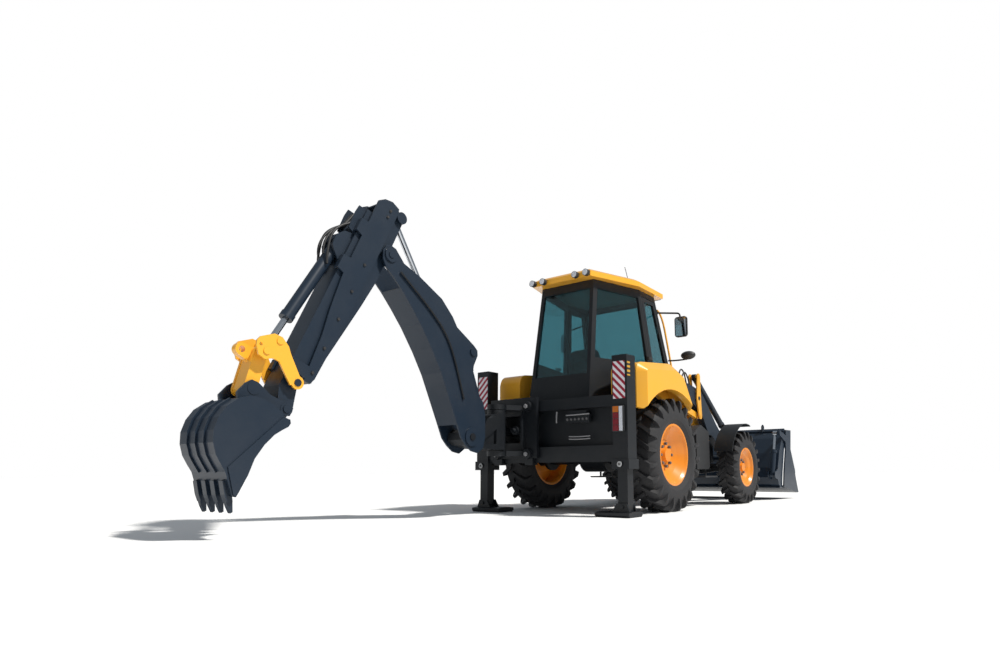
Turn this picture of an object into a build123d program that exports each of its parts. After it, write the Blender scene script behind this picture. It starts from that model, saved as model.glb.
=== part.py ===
"""Backhoe loader with a side-shift backhoe, a telescopic dipper and a parallel-lift loader.

Frame: +X forward, +Y left, +Z up, millimetres, floor at Z = 0, origin under the middle of the machine.
Lengths along X are measured from the rear axle, on planes that side(), level() and across() place.
"""

import os
from math import cos, pi, radians, sin

from build123d import *

os.makedirs("parts", exist_ok=True)

# ------------------------------------------------------------------ driving dimensions
REAR_AXLE_X = 128.0
WHEELBASE = 2400.0

REAR_TYRE_R, REAR_TYRE_WIDTH, REAR_RIM_R = 700.0, 400.0, 390.0
FRONT_TYRE_R, FRONT_TYRE_WIDTH, FRONT_RIM_R = 550.0, 310.0, 300.0
REAR_WHEEL_Y = 952.0
FRONT_WHEEL_Y = 1004.0
KINGPIN_Y = 862.0

HOE_Y = 491.0
PLATE = 20.0
GAP = 6.0
FIT = 0.1

BOOM_HALF = 155.0
BOOM_FOOT = (-2086.0, 892.0)
BOOM_TIP = (-3269.0, 2670.0)
BOOM_RAM_BASE = (-1760.0, 1050.0)
BOOM_RAM_EYE = (-2075.0, 1855.0)
DIPPER_RAM_BASE = (-2165.0, 1590.0)
DIPPER_LEAN = 24.85
SWING_X = -1500.0

ARM_PIVOT = (1130.0, 1765.0)
LEVER_PIVOT = (1900.0, 1600.0)
LEVER_TOP = (1915.0, 1935.0)
LEVER_FOOT = (1945.0, 1330.0)
BUCKET_PIVOT = (3600.0, 430.0)
ARM_Y, ARM_WIDTH = 535.0, 100.0
BUCKET_HALF = 1200.0
CLAM_PIVOT = (4231.0, 987.0)


# ------------------------------------------------------------------ working planes
def side(y):
    """Side view: u forward from the rear axle, v up, extruded towards the right."""
    return Plane(origin=(REAR_AXLE_X, y, 0), x_dir=(1, 0, 0), z_dir=(0, -1, 0))


def level(z):
    """Plan view: u forward from the rear axle, v to the left, extruded upwards."""
    return Plane(origin=(REAR_AXLE_X, 0, z), x_dir=(1, 0, 0), z_dir=(0, 0, 1))


def across(x):
    """End view: u to the left, v up, extruded forwards."""
    return Plane(origin=(REAR_AXLE_X + x, 0, 0), x_dir=(0, 1, 0), z_dir=(1, 0, 0))


def along_dipper(y):
    """Side view from the boom's tip: u down the dipper, v to its back, extruded to the left."""
    lean = radians(DIPPER_LEAN)
    origin = (REAR_AXLE_X + BOOM_TIP[0], y, BOOM_TIP[1])
    return Plane(origin=origin, x_dir=(-sin(lean), 0, -cos(lean)), z_dir=(0, 1, 0))


def dipper_point(down, back):
    """A point of the dipper's own side view, as forward and up distances from the rear axle."""
    lean = radians(DIPPER_LEAN)
    x = BOOM_TIP[0] - down * sin(lean) - back * cos(lean)
    z = BOOM_TIP[1] - down * cos(lean) + back * sin(lean)
    return (x, z)


def towards(start, end, y, distance=0.0):
    """A plane square to the line from one side-view point to another, some way along it."""
    a = Vector(REAR_AXLE_X + start[0], y, start[1])
    b = Vector(REAR_AXLE_X + end[0], y, end[1])
    line = (b - a).normalized()
    return Plane(origin=a + line * distance, x_dir=(0, 1, 0), z_dir=line)


def reach(start, end):
    """The distance between two side-view points."""
    return ((end[0] - start[0]) ** 2 + (end[1] - start[1]) ** 2) ** 0.5


def save(builder, name):
    """Label a finished piece and write its STEP file."""
    builder.part.label = name
    export_step(builder.part, f"parts/{name}.step")


# ------------------------------------------------------------------ wheels
def many_sided(hub, sections, sides):
    """A solid of straight-sided rings along a hub's axis, from (distance, flat-to-centre radius) pairs."""
    with BuildPart() as solid:
        for distance, radius in sections:
            with BuildSketch(hub.offset(distance)):
                RegularPolygon(radius, sides, major_radius=False)
        loft(ruled=True)
    return solid.part


def tyre(name, x, y, radius, width, rim_radius, lug_count):
    """A traction tyre: a many-sided carcass with two staggered rows of slanted bar lugs."""
    outward = 1 if y > 0 else -1
    centre = Vector(REAR_AXLE_X + x, y, radius)
    hub = Plane(origin=centre, x_dir=(1, 0, 0), z_dir=(0, outward, 0))
    half = width / 2
    sides = 2 * lug_count
    tread = 0.955 * radius
    wall = tread - rim_radius
    pitch = 2 * pi * radius / lug_count
    lug_top = (radius**2 - (0.22 * pitch) ** 2) ** 0.5
    shoulder = tread - 0.24 * wall
    outer = ((-half, shoulder), (-0.42 * width, tread), (0.42 * width, tread), (half, shoulder))
    inner = ((-half, rim_radius + 0.3 * wall), (-0.4 * width, rim_radius), (0.4 * width, rim_radius))
    inner = (*inner, (half, rim_radius + 0.3 * wall))
    with BuildPart() as piece:
        add(many_sided(hub, outer, sides))
        for row in (-1, 1):
            for n in range(lug_count):
                turn = 2 * pi * (n + 0.25 * row) / lug_count
                spoke = Vector(cos(turn), 0, sin(turn))
                with BuildSketch(Plane(origin=centre + spoke * (tread - 12), x_dir=(0, 1, 0), z_dir=spoke)):
                    with BuildLine():
                        Polyline(
                            (row * 0.49 * width, -0.02 * pitch),
                            (row * 0.49 * width, 0.22 * pitch),
                            (row * 0.01 * width, 0.02 * pitch),
                            (row * 0.01 * width, -0.22 * pitch),
                            close=True,
                        )
                    make_face()
        extrude(amount=lug_top - tread + 12)
        add(many_sided(hub, inner, sides), mode=Mode.SUBTRACT)
    save(piece, name)


def rim(name, x, y, axle_height, radius, width, dish, studs):
    """A one-piece wheel: flanged rim, dished disc, hub and wheel studs."""
    outward = 1 if y > 0 else -1
    centre = Vector(REAR_AXLE_X + x, y, axle_height)
    section = Plane(origin=centre, x_dir=(0, outward, 0), z_dir=(1, 0, 0))
    hub = Plane(origin=centre, x_dir=(1, 0, 0), z_dir=(0, outward, 0))
    half = 0.40 * width
    well = radius - 45
    with BuildPart() as piece:
        with BuildSketch(section):
            with BuildLine():
                Polyline(
                    (-half, radius - 3),
                    (-half, radius - 30),
                    (-half + 40, well - 12),
                    (dish - 20, well - 12),
                    (dish - 60, 0.50 * radius),
                    (dish - 60, 0),
                    (dish + 10, 0),
                    (dish + 10, 0.20 * radius),
                    (dish - 38, 0.24 * radius),
                    (dish - 38, 0.48 * radius),
                    (dish + 4, 0.64 * radius),
                    (half - 30, well - 12),
                    (half, radius - 30),
                    (half, radius - 3),
                    (half - 12, radius - 3),
                    (half - 60, well),
                    (-half + 60, well),
                    (-half + 12, radius - 3),
                    close=True,
                )
            make_face()
        revolve(axis=Axis(centre, (0, 1, 0)))
        with BuildSketch(hub.offset(dish - 50)):
            with PolarLocations(0.36 * radius, studs):
                RegularPolygon(17, 6)
        extrude(amount=40)
    save(piece, name)


# name, place of the axle and of the wheel, radii and width, lugs, dish offset, studs
WHEELS = (
    ("rear", 0.0, REAR_WHEEL_Y, REAR_TYRE_R, REAR_TYRE_WIDTH, REAR_RIM_R, 18, 60.0, 8),
    ("front", WHEELBASE, FRONT_WHEEL_Y, FRONT_TYRE_R, FRONT_TYRE_WIDTH, FRONT_RIM_R, 17, 66.0, 8),
)
for axle, axle_x, wheel_y, tyre_r, tyre_width, rim_r, lugs, dish, studs in WHEELS:
    for tag, sign in (("left", 1), ("right", -1)):
        tyre(f"{axle}_tyre_{tag}", axle_x, sign * wheel_y, tyre_r, tyre_width, rim_r, lugs)
        rim(f"{axle}_rim_{tag}", axle_x, sign * wheel_y, tyre_r, rim_r, tyre_width, dish, studs)

# ------------------------------------------------------------------ chassis
RAIL_Y, RAIL_WIDTH = 350.0, 100.0
TOWER_PLATES = (467.0, 603.0)
TOWER_PLATE = 24.0
LINK_PIVOT = (
    LEVER_FOOT[0] - LEVER_PIVOT[0] + ARM_PIVOT[0],
    LEVER_FOOT[1] - LEVER_PIVOT[1] + ARM_PIVOT[1],
)
LIFT_RAM_BASE = (1330.0, 560.0)
ARM_PIN, LINK_PIN, RAM_PIN = 30.0, 22.0, 25.0

with BuildPart() as chassis_frame:
    for y in (RAIL_Y, -RAIL_Y):
        with BuildSketch(side(y)):
            with BuildLine():
                Polyline(
                    (-900, 830),
                    (-900, 1010),
                    (480, 1010),
                    (900, 960),
                    (2750, 960),
                    (2750, 740),
                    (900, 740),
                    (560, 830),
                    close=True,
                )
            make_face()
        extrude(amount=RAIL_WIDTH / 2, both=True)
    # start along the machine, foot and height of each cross member
    for start, foot, height in ((-900, 850, 140), (700, 790, 170), (1180, 760, 180), (2660, 760, 180)):
        with BuildSketch(across(start)):
            with Locations((0, foot + height / 2)):
                Rectangle(2 * RAIL_Y, height)
        extrude(amount=90)
    # loader towers: two plates a side, carried on a box bolted to the rail
    for sign in (1, -1):
        for plate_y in TOWER_PLATES:
            with BuildSketch(side(sign * plate_y)):
                with BuildLine():
                    Polyline(
                        (1030, 760),
                        (1030, 1500),
                        (1056, 1830),
                        (1090, 1880),
                        (1170, 1880),
                        (1220, 1830),
                        (1262, 1500),
                        (1330, 960),
                        (1400, 760),
                        (1400, 560),
                        (1360, 500),
                        (1290, 500),
                        (1250, 560),
                        (1250, 760),
                        close=True,
                    )
                make_face()
            extrude(amount=TOWER_PLATE / 2, both=True)
        with BuildSketch(side(sign * 507.5)):
            with Locations((1178, 850)):
                Rectangle(296, 180)
        extrude(amount=107.5, both=True)
        for pin, radius in ((ARM_PIVOT, ARM_PIN), (LINK_PIVOT, LINK_PIN), (LIFT_RAM_BASE, RAM_PIN)):
            with BuildSketch(side(sign * ARM_Y)):
                with Locations(pin):
                    Circle(radius)
            extrude(amount=82, both=True)
    with BuildSketch(side(0)):
        with Locations((1092, 1420)):
            Circle(50)
    extrude(amount=460, both=True)
    # axle bracket, front beam and its towing eye
    with BuildSketch(level(632)):
        with Locations((WHEELBASE, 0)):
            Rectangle(420, 560)
    extrude(amount=109)
    with BuildSketch(side(0)):
        with BuildLine():
            Polyline(
                (2750, 620),
                (2750, 960),
                (2800, 960),
                (2860, 900),
                (2860, 660),
                (2820, 620),
                close=True,
            )
        make_face()
    extrude(amount=400, both=True)
    with BuildSketch(level(738)):
        with BuildLine():
            Polyline(
                (2850, -90),
                (2900, -60),
                (2945, -50),
                (2960, -20),
                (2960, 20),
                (2945, 50),
                (2900, 60),
                (2850, 90),
                close=True,
            )
        make_face()
        with Locations((2910, 0)):
            Circle(20, mode=Mode.SUBTRACT)
    extrude(amount=24)
save(chassis_frame, "chassis_frame")

# ------------------------------------------------------------------ rear frame and stabilisers
LEG_X, LEG_Y = -1065.0, 1032.0
TUBE, TUBE_WALL, LEG = 190.0, 12.0, 125.0
TUBE_FOOT, TUBE_TOP = 526.0, 1800.0
# foot and height of the lower and the upper slide beam
BEAMS = ((629.0, 146.0), (1252.0, 89.0))

with BuildPart() as rear_frame:
    for sign in (1, -1):
        with BuildSketch(level(TUBE_FOOT)):
            with Locations((LEG_X, sign * LEG_Y)):
                Rectangle(TUBE, TUBE)
        extrude(amount=TUBE_TOP - TUBE_FOOT)
        with BuildSketch(level(TUBE_FOOT)):
            with Locations((LEG_X, sign * LEG_Y)):
                Rectangle(TUBE + 30, TUBE + 30)
        extrude(amount=109)
        with BuildSketch(across(LEG_X - TUBE / 2 - 30)):
            with Locations((sign * LEG_Y, 580)):
                Circle(34)
        extrude(amount=30)
    for foot, height in BEAMS:
        with BuildSketch(across(-1120)):
            with Locations((0, foot + height / 2)):
                Rectangle(2 * (LEG_Y - TUBE / 2), height)
        extrude(amount=120)
        with BuildSketch(across(-1134)):
            with Locations((0, foot + height / 2)):
                Rectangle(2 * (LEG_Y - TUBE / 2), height + 40)
        extrude(amount=20)
    with BuildSketch(across(-1010)):
        with Locations((0, 1000)):
            Rectangle(2 * (LEG_Y - TUBE / 2), 600)
    extrude(amount=12)
    for y in (RAIL_Y, -RAIL_Y):
        with BuildSketch(side(y)):
            with BuildLine():
                Polyline(
                    (-1010, 629),
                    (-1010, 1341),
                    (-950, 1341),
                    (-950, 1040),
                    (-900, 1010),
                    (-900, 700),
                    (-940, 629),
                    close=True,
                )
            make_face()
        extrude(amount=RAIL_WIDTH / 2, both=True)
    for sign in (1, -1):
        with BuildSketch(level(TUBE_FOOT)):
            with Locations((LEG_X, sign * LEG_Y)):
                Rectangle(TUBE - 2 * TUBE_WALL, TUBE - 2 * TUBE_WALL)
        extrude(amount=TUBE_TOP - TUBE_FOOT - TUBE_WALL, mode=Mode.SUBTRACT)
save(rear_frame, "rear_frame")

for tag, sign in (("left", 1), ("right", -1)):
    with BuildPart() as stabiliser_leg:
        with BuildSketch(level(60)):
            with Locations((LEG_X, sign * LEG_Y)):
                Rectangle(LEG, LEG)
        extrude(amount=1060)
        for foot in (560, 1000):
            with BuildSketch(level(foot)):
                with Locations((LEG_X, sign * LEG_Y)):
                    Rectangle(TUBE - 2 * TUBE_WALL - 12, TUBE - 2 * TUBE_WALL - 12)
            extrude(amount=60)
        with BuildSketch(side(sign * 934.5)):
            with BuildLine():
                Polyline(
                    (-1215, 22),
                    (-1215, 50),
                    (-1130, 62),
                    (-1000, 62),
                    (-914, 50),
                    (-914, 22),
                    (-940, 0),
                    (-1190, 0),
                    close=True,
                )
            make_face()
        extrude(amount=220.5, both=True)
        for x in (LEG_X - 74, LEG_X + 74):
            with BuildSketch(across(x - 11)):
                with BuildLine():
                    Polyline(
                        (sign * 900, 55),
                        (sign * 960, 150),
                        (sign * 1090, 150),
                        (sign * 1125, 55),
                        close=True,
                    )
                make_face()
            extrude(amount=22)
        with BuildSketch(across(LEG_X - 100)):
            with Locations((sign * LEG_Y, 112)):
                Circle(20)
        extrude(amount=200)
    save(stabiliser_leg, f"stabiliser_leg_{tag}")

# ------------------------------------------------------------------ axles, knuckles, engine
with BuildPart() as rear_axle:
    # start, end and radius of each turned stretch of the housing
    # inner end, outer end and radius of the axle's drums
    hub_end = REAR_WHEEL_Y - 0.5
    for start, end, radius in ((0, 190, 205), (190, 760, 105), (760, 800, 180), (800, hub_end, 120)):
        for sign in (1, -1):
            with BuildSketch(side(sign * (start + end) / 2)):
                with Locations((0, REAR_TYRE_R)):
                    Circle(radius)
            extrude(amount=(end - start) / 2, both=True)
    for y in (RAIL_Y, -RAIL_Y):
        with BuildSketch(level(760)):
            with Locations((0, y)):
                Rectangle(260, 96)
        extrude(amount=69.5)
save(rear_axle, "rear_axle")

with BuildPart() as front_axle:
    with BuildSketch(across(WHEELBASE - 65)):
        with BuildLine():
            Polyline(
                (-KINGPIN_Y, 500),
                (-KINGPIN_Y, 600),
                (-760, 600),
                (-500, 610),
                (-240, 625),
                (240, 625),
                (500, 610),
                (760, 600),
                (KINGPIN_Y, 600),
                (KINGPIN_Y, 500),
                (760, 500),
                (260, 440),
                (-260, 440),
                (-760, 500),
                close=True,
            )
        make_face()
    extrude(amount=130)
    for sign in (1, -1):
        with BuildSketch(level(500)):
            with Locations((WHEELBASE, sign * KINGPIN_Y)):
                Circle(65)
        extrude(amount=100)
        with BuildSketch(side(sign * 210)):
            with Locations((WHEELBASE - 110, 540)):
                Circle(42)
        extrude(amount=210, both=True)
        with BuildSketch(side(sign * 510)):
            with Locations((WHEELBASE - 110, 540)):
                Circle(17)
        extrude(amount=100, both=True)
    for sign in (1, -1):
        with BuildSketch(level(490)):
            with Locations((WHEELBASE, sign * KINGPIN_Y)):
                Circle(24)
        extrude(amount=120, mode=Mode.SUBTRACT)
save(front_axle, "front_axle")

FENDER_R, FENDER_SKIN = 640.0, 12.0
for tag, sign in (("left", 1), ("right", -1)):
    with BuildPart() as front_knuckle:
        for foot in (434, 606):
            with BuildSketch(level(foot)):
                with Locations((WHEELBASE, sign * (KINGPIN_Y + 25))):
                    Rectangle(120, 150)
            extrude(amount=60)
        with BuildSketch(side(sign * 951)):
            with Locations((WHEELBASE, FRONT_TYRE_R)):
                Rectangle(120, 232)
        extrude(amount=14, both=True)
        with BuildSketch(level(450)):
            with Locations((WHEELBASE, sign * KINGPIN_Y)):
                Circle(24 - FIT)
        extrude(amount=200)
        with BuildSketch(side(sign * 985)):
            with Locations((WHEELBASE, FRONT_TYRE_R)):
                Circle(95)
        extrude(amount=24.5, both=True)
        # mudguard on its bracket, which turns with the wheel
        with BuildSketch(side(sign * 821)):
            with BuildLine():
                Polyline(
                    (2345, 640),
                    (2345, 700),
                    (2250, 1000),
                    (2262, 1196),
                    (2302, 1204),
                    (2302, 1000),
                    (2395, 700),
                    (2395, 640),
                    close=True,
                )
            make_face()
        extrude(amount=8, both=True)
        with BuildSketch(side(sign * 850)):
            with Locations((2282, 1190)):
                Rectangle(40, 22)
        extrude(amount=37, both=True)
        with BuildSketch(side(sign * 1010)):
            with BuildLine():
                start = (2400 - FENDER_R * cos(radians(20)), 560 + FENDER_R * sin(radians(20)))
                middle = (2400 - FENDER_R * cos(radians(62)), 560 + FENDER_R * sin(radians(62)))
                end = (2400 + FENDER_R * cos(radians(74)), 560 + FENDER_R * sin(radians(74)))
                guard = ThreePointArc(start, middle, end)
                offset(guard, amount=FENDER_SKIN, side=Side.LEFT)
            make_face()
        extrude(amount=140, both=True)
        with BuildSketch(side(sign * 821)):
            with Locations((2370, 650)):
                Rectangle(50, 40)
        extrude(amount=20, both=True)
    save(front_knuckle, f"front_knuckle_{tag}")

with BuildPart() as engine_block:
    # start and end along the machine, half width, foot and top
    for start, end, half, foot, top in ((1500, 2480, 260, 741, 1330), (820, 1500, 215, 420, 755)):
        with BuildSketch(across(start)):
            with Locations((0, (foot + top) / 2)):
                Rectangle(2 * half, top - foot)
        extrude(amount=end - start)
save(engine_block, "engine_block")

with BuildPart() as side_tanks:
    for sign in (1, -1):
        with BuildSketch(side(sign * 735)):
            with BuildLine():
                Polyline(
                    (1235, 520),
                    (1235, 1080),
                    (1370, 1150),
                    (1420, 1150),
                    (1675, 1060),
                    (1675, 560),
                    (1635, 520),
                    close=True,
                )
            make_face()
        extrude(amount=113, both=True)
        fillet(side_tanks.edges().filter_by(Axis.X).group_by(Axis.Z)[0], 18)
        for x in (1290, 1620):
            with BuildSketch(side(sign * 800)):
                with Locations((x, 470)):
                    Rectangle(30, 130)
            extrude(amount=8, both=True)
        with BuildSketch(level(405)):
            with Locations((1455, sign * 850)):
                Rectangle(420, 230)
        extrude(amount=22)
        with BuildSketch(side(sign * 618.5)):
            with Locations((1300, 850)):
                Rectangle(60, 120)
        extrude(amount=3.5, both=True)
save(side_tanks, "side_tanks")

# ------------------------------------------------------------------ hood and grille
HOOD_HALF, HOOD_SKIN = 392.0, 8.0
with BuildPart() as hood:
    with BuildSketch(side(0)):
        with BuildLine():
            Polyline(
                (1215, 985),
                (1215, 1560),
                (1260, 1600),
                (2450, 1500),
                (2660, 1440),
                (2738, 1340),
                (2738, 985),
                close=True,
            )
        make_face()
    extrude(amount=HOOD_HALF, both=True)
    fillet(hood.edges().filter_by(Axis.X, tolerance=12).group_by(Axis.Z)[-1], 60)
    with BuildSketch(side(0)):
        with BuildLine():
            Polyline(
                (1205, 975),
                (1205, 1548),
                (1263, 1600 - HOOD_SKIN - 1),
                (2448, 1500 - HOOD_SKIN),
                (2656, 1440 - HOOD_SKIN),
                (2738 - HOOD_SKIN, 1336),
                (2738 - HOOD_SKIN, 975),
                close=True,
            )
        make_face()
    extrude(amount=HOOD_HALF - HOOD_SKIN - 18, both=True, mode=Mode.SUBTRACT)
    with BuildSketch(across(2700)):
        with Locations((0, 1180)):
            Rectangle(680, 300)
    extrude(amount=60, mode=Mode.SUBTRACT)
save(hood, "hood")

with BuildPart() as front_grille:
    with BuildSketch(across(2756)):
        with Locations((0, 1190)):
            Rectangle(760, 420)
            Rectangle(690, 350, mode=Mode.SUBTRACT)
    extrude(amount=44)
    with BuildSketch(side(0)):
        with Locations([(2778, 1045 + 41 * n) for n in range(8)]):
            Rectangle(34, 12, rotation=-25)
    extrude(amount=350, both=True)
    with BuildSketch(across(2756)):
        for y in (-300, 300):
            with Locations((y, 972.5)):
                Rectangle(60, 25)
    extrude(amount=40)
save(front_grille, "front_grille")

# ------------------------------------------------------------------ cab
CAB_FOOT, CAB_HEAD = 1200.0, 2900.0
# rear corner, door post and front post of the cab's plan, as forward and outward distances
PLAN_FOOT = ((-935, 465), (255, 765), (1010, 720))
PLAN_HEAD = ((-690, 405), (110, 607), (575, 579))
PANEL = 42.0
GLASS_IN, GLASS_OUT = 24.0, 17.0
DOOR_GAP = 6.0

REAR_OPENING = ((-398, 1690), (-359, 2790), (359, 2790), (398, 1690))
FRONT_OPENING = ((-618, 1660), (-524, 2800), (524, 2800), (618, 1660))
QUARTER_OPENING = ((-768, 1890), (-640, 2790), (76, 2790), (152, 1890))
MIRROR_ROOT = (560, 2702)
DOOR_OUTLINE = (
    (158, 2820),
    (545, 2820),
    (945, 1262),
    (705, 1262),
    (628, 1420),
    (478, 1660),
    (330, 1800),
    (238, 1850),
)


def outline(points, grow=0.0):
    """A closed outline, grown or drawn in."""
    with BuildSketch() as shape:
        with BuildLine():
            Polyline(*points, close=True)
        make_face()
        if grow:
            offset(amount=grow, kind=Kind.INTERSECTION, mode=Mode.REPLACE)
    return shape.sketch


def plan(points, inset=0.0):
    """The cab's six-sided plan from the points of its left half, drawn in by an inset."""
    return outline([*points, *[(x, -y) for x, y in reversed(points)]], -inset)


def cab_body(inset):
    """The solid of the cab's tapered body, drawn in by an inset."""
    with BuildPart() as body:
        with BuildSketch(level(CAB_FOOT)):
            add(plan(PLAN_FOOT, inset))
        with BuildSketch(level(CAB_HEAD)):
            add(plan(PLAN_HEAD, inset))
        loft()
    return body.part


with BuildPart() as cab_frame:
    add(cab_body(0))
    add(cab_body(PANEL), mode=Mode.SUBTRACT)
    with BuildSketch(across(-1000)):
        add(outline(REAR_OPENING))
    extrude(amount=420, mode=Mode.SUBTRACT)
    with BuildSketch(across(560)):
        add(outline(FRONT_OPENING))
    extrude(amount=500, mode=Mode.SUBTRACT)
    with BuildSketch(side(0)):
        add(outline(QUARTER_OPENING))
        add(outline(DOOR_OUTLINE, DOOR_GAP))
    extrude(amount=900, both=True, mode=Mode.SUBTRACT)
    # wheel boxes: the body is cut clear of the rear wheels and closed by a plate
    for sign in (1, -1):
        with BuildSketch(level(1150)):
            with Locations((-220, sign * 850)):
                Rectangle(1560, 320)
        extrude(amount=410, mode=Mode.SUBTRACT)
        with BuildSketch(side(sign * 692)):
            with BuildLine():
                Polyline(
                    (-120, 1200),
                    (-120, 1600),
                    (490, 1600),
                    (530, 1540),
                    (605, 1415),
                    (680, 1262),
                    (680, 1200),
                    close=True,
                )
            make_face()
        extrude(amount=12, both=True)
    with BuildSketch(level(1170)):
        add(plan(((-880, 440), (-100, 640), (690, 690))))
    extrude(amount=34)
    with BuildSketch(level(1010)):
        for x in (-620, 420):
            for y in (-RAIL_Y, RAIL_Y):
                with Locations((x, y)):
                    Rectangle(90, 80)
    extrude(amount=165)
    # bosses of the mirror arms on the front posts
    with BuildSketch(across(590)):
        for y in (-MIRROR_ROOT[0], MIRROR_ROOT[0]):
            with Locations((y, MIRROR_ROOT[1])):
                Rectangle(50, 60)
    extrude(amount=60)
    # cowl between the loader towers
    with BuildSketch(side(0)):
        with BuildLine():
            Polyline((955, 1230), (955, 1600), (1010, 1560), (1010, 1230), close=True)
        make_face()
    extrude(amount=400, both=True)
save(cab_frame, "cab_frame")

def window_prisms():
    """Prisms through the fixed windows: rear, front and both quarters."""
    with BuildPart() as prisms:
        with BuildSketch(across(-1000)):
            add(outline(REAR_OPENING))
        extrude(amount=420)
        with BuildSketch(across(560)):
            add(outline(FRONT_OPENING))
        extrude(amount=500)
        with BuildSketch(side(0)):
            add(outline(QUARTER_OPENING))
        extrude(amount=900, both=True)
    return prisms.part


with BuildPart() as cab_glass:
    add(cab_body(GLASS_OUT))
    add(cab_body(GLASS_IN), mode=Mode.SUBTRACT)
    add(window_prisms(), mode=Mode.INTERSECT)
save(cab_glass, "cab_glass")

for tag, sign in (("left", 1), ("right", -1)):
    with BuildPart() as door:
        add(cab_body(0))
        add(cab_body(PANEL), mode=Mode.SUBTRACT)
        with BuildSketch(side(0)):
            add(outline(DOOR_OUTLINE))
            add(outline(DOOR_OUTLINE, -58))
        extrude(amount=sign * -900, mode=Mode.INTERSECT)
        with BuildSketch(side(0)):
            add(outline(DOOR_OUTLINE, -58))
        extrude(amount=sign * -900, mode=Mode.SUBTRACT)
    save(door, f"door_{tag}")
    with BuildPart() as door_glass:
        add(cab_body(GLASS_OUT))
        add(cab_body(GLASS_IN), mode=Mode.SUBTRACT)
        with BuildSketch(side(0)):
            add(outline(DOOR_OUTLINE, -58))
        extrude(amount=sign * -900, mode=Mode.INTERSECT)
    save(door_glass, f"door_glass_{tag}")

ROOF_RIM = ((-838, 452), (-40, 690), (722, 642))
ROOF_CROWN = ((-770, 392), (-30, 612), (640, 566))
with BuildPart() as cab_roof:
    with BuildSketch(level(CAB_HEAD + 2)):
        add(plan(ROOF_RIM))
    extrude(amount=66)
    with BuildSketch(level(CAB_HEAD + 68)):
        add(plan(ROOF_RIM))
    with BuildSketch(level(CAB_HEAD + 112)):
        add(plan(ROOF_CROWN))
    loft()
    with BuildSketch(level(CAB_HEAD + 2)):
        add(plan(((-660, 372), (100, 570), (540, 542))))
    extrude(amount=50, mode=Mode.SUBTRACT)
save(cab_roof, "cab_roof")

with BuildPart() as rear_fenders:
    for sign in (1, -1):
        with BuildSketch(side(sign * 922)):
            with BuildLine():
                Line((-740, 1222), (-800, 1240))
                FilletPolyline(
                    (-800, 1240),
                    (-800, 1770),
                    (60, 1850),
                    (330, 1768),
                    (590, 1400),
                    (606, 1290),
                    radius=130,
                )
                Line((606, 1290), (580, 1290))
                ThreePointArc((580, 1290), (-70, 1502), (-740, 1222))
            make_face()
        extrude(amount=218, both=True)
    # the outer shoulder falls away, and the underside is open over the wheel
    outer_tops = [e for e in rear_fenders.edges() if abs(e.center().Y) > 1139 and e.center().Z > 1560]
    chamfer(outer_tops, 95)
    for sign in (1, -1):
        with BuildSketch(side(sign * 922)):
            with BuildLine():
                Line((-772, 1180), (-772, 1690))
                Line((-772, 1690), (-716, 1762))
                Line((-716, 1762), (36, 1808))
                Line((36, 1808), (296, 1742))
                Line((296, 1742), (562, 1372))
                Line((562, 1372), (574, 1180))
                Line((574, 1180), (-772, 1180))
            make_face()
        extrude(amount=120, both=True, mode=Mode.SUBTRACT)
    add(cab_body(-0.3), mode=Mode.SUBTRACT)
save(rear_fenders, "rear_fenders")

with BuildPart() as seat:
    with BuildSketch(level(1204)):
        with Locations((-60, 0)):
            Rectangle(420, 380)
    extrude(amount=200)
    with BuildSketch(level(1404)):
        with Locations((-60, 0)):
            RectangleRounded(500, 500, 60)
    extrude(amount=130)
    with BuildSketch(side(0)):
        with BuildLine():
            Polyline((-310, 1500), (-400, 2120), (-290, 2140), (-190, 1534), close=True)
        make_face()
    extrude(amount=230, both=True)
save(seat, "seat")

with BuildPart() as steering_column:
    with BuildSketch(level(1204)):
        with Locations((700, 0)):
            Rectangle(220, 520)
    with BuildSketch(level(1700)):
        with Locations((730, 0)):
            Rectangle(150, 460)
    loft()
    with BuildSketch(towards((690, 1650), (600, 1860), 0)):
        Circle(34)
    extrude(amount=225)
    with BuildSketch(towards((690, 1650), (600, 1860), 0, 222)):
        Circle(190)
        Circle(164, mode=Mode.SUBTRACT)
        for turn in (0, 120, 240):
            with Locations(Rot(0, 0, turn) * Pos(85, 0)):
                Rectangle(170, 26)
    extrude(amount=24)
    # lever consoles beside the seat
    for y in (-360, 360):
        with BuildSketch(level(1204)):
            with Locations((-60, y)):
                RectangleRounded(460, 120, 30)
        extrude(amount=430)
save(steering_column, "steering_column")

with BuildPart() as mirrors:
    for sign in (1, -1):
        root = Vector(REAR_AXLE_X + 665, sign * MIRROR_ROOT[0], MIRROR_ROOT[1])
        elbow = Vector(REAR_AXLE_X + 650, sign * 930, 2640)
        foot = Vector(REAR_AXLE_X + 628, sign * 935, 2330)
        with BuildLine():
            arm = FilletPolyline(root, elbow, foot, radius=50)
        with BuildSketch(Plane(origin=root, z_dir=arm % 0)):
            Circle(12)
        sweep(path=arm)
        with BuildSketch(across(598)):
            with Locations((sign * 960, 2440)):
                RectangleRounded(180, 280, 40)
        extrude(amount=30)
        with BuildSketch(across(650)):
            with Locations((sign * MIRROR_ROOT[0], MIRROR_ROOT[1])):
                Rectangle(44, 54)
        extrude(amount=22)
save(mirrors, "mirrors")

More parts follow.
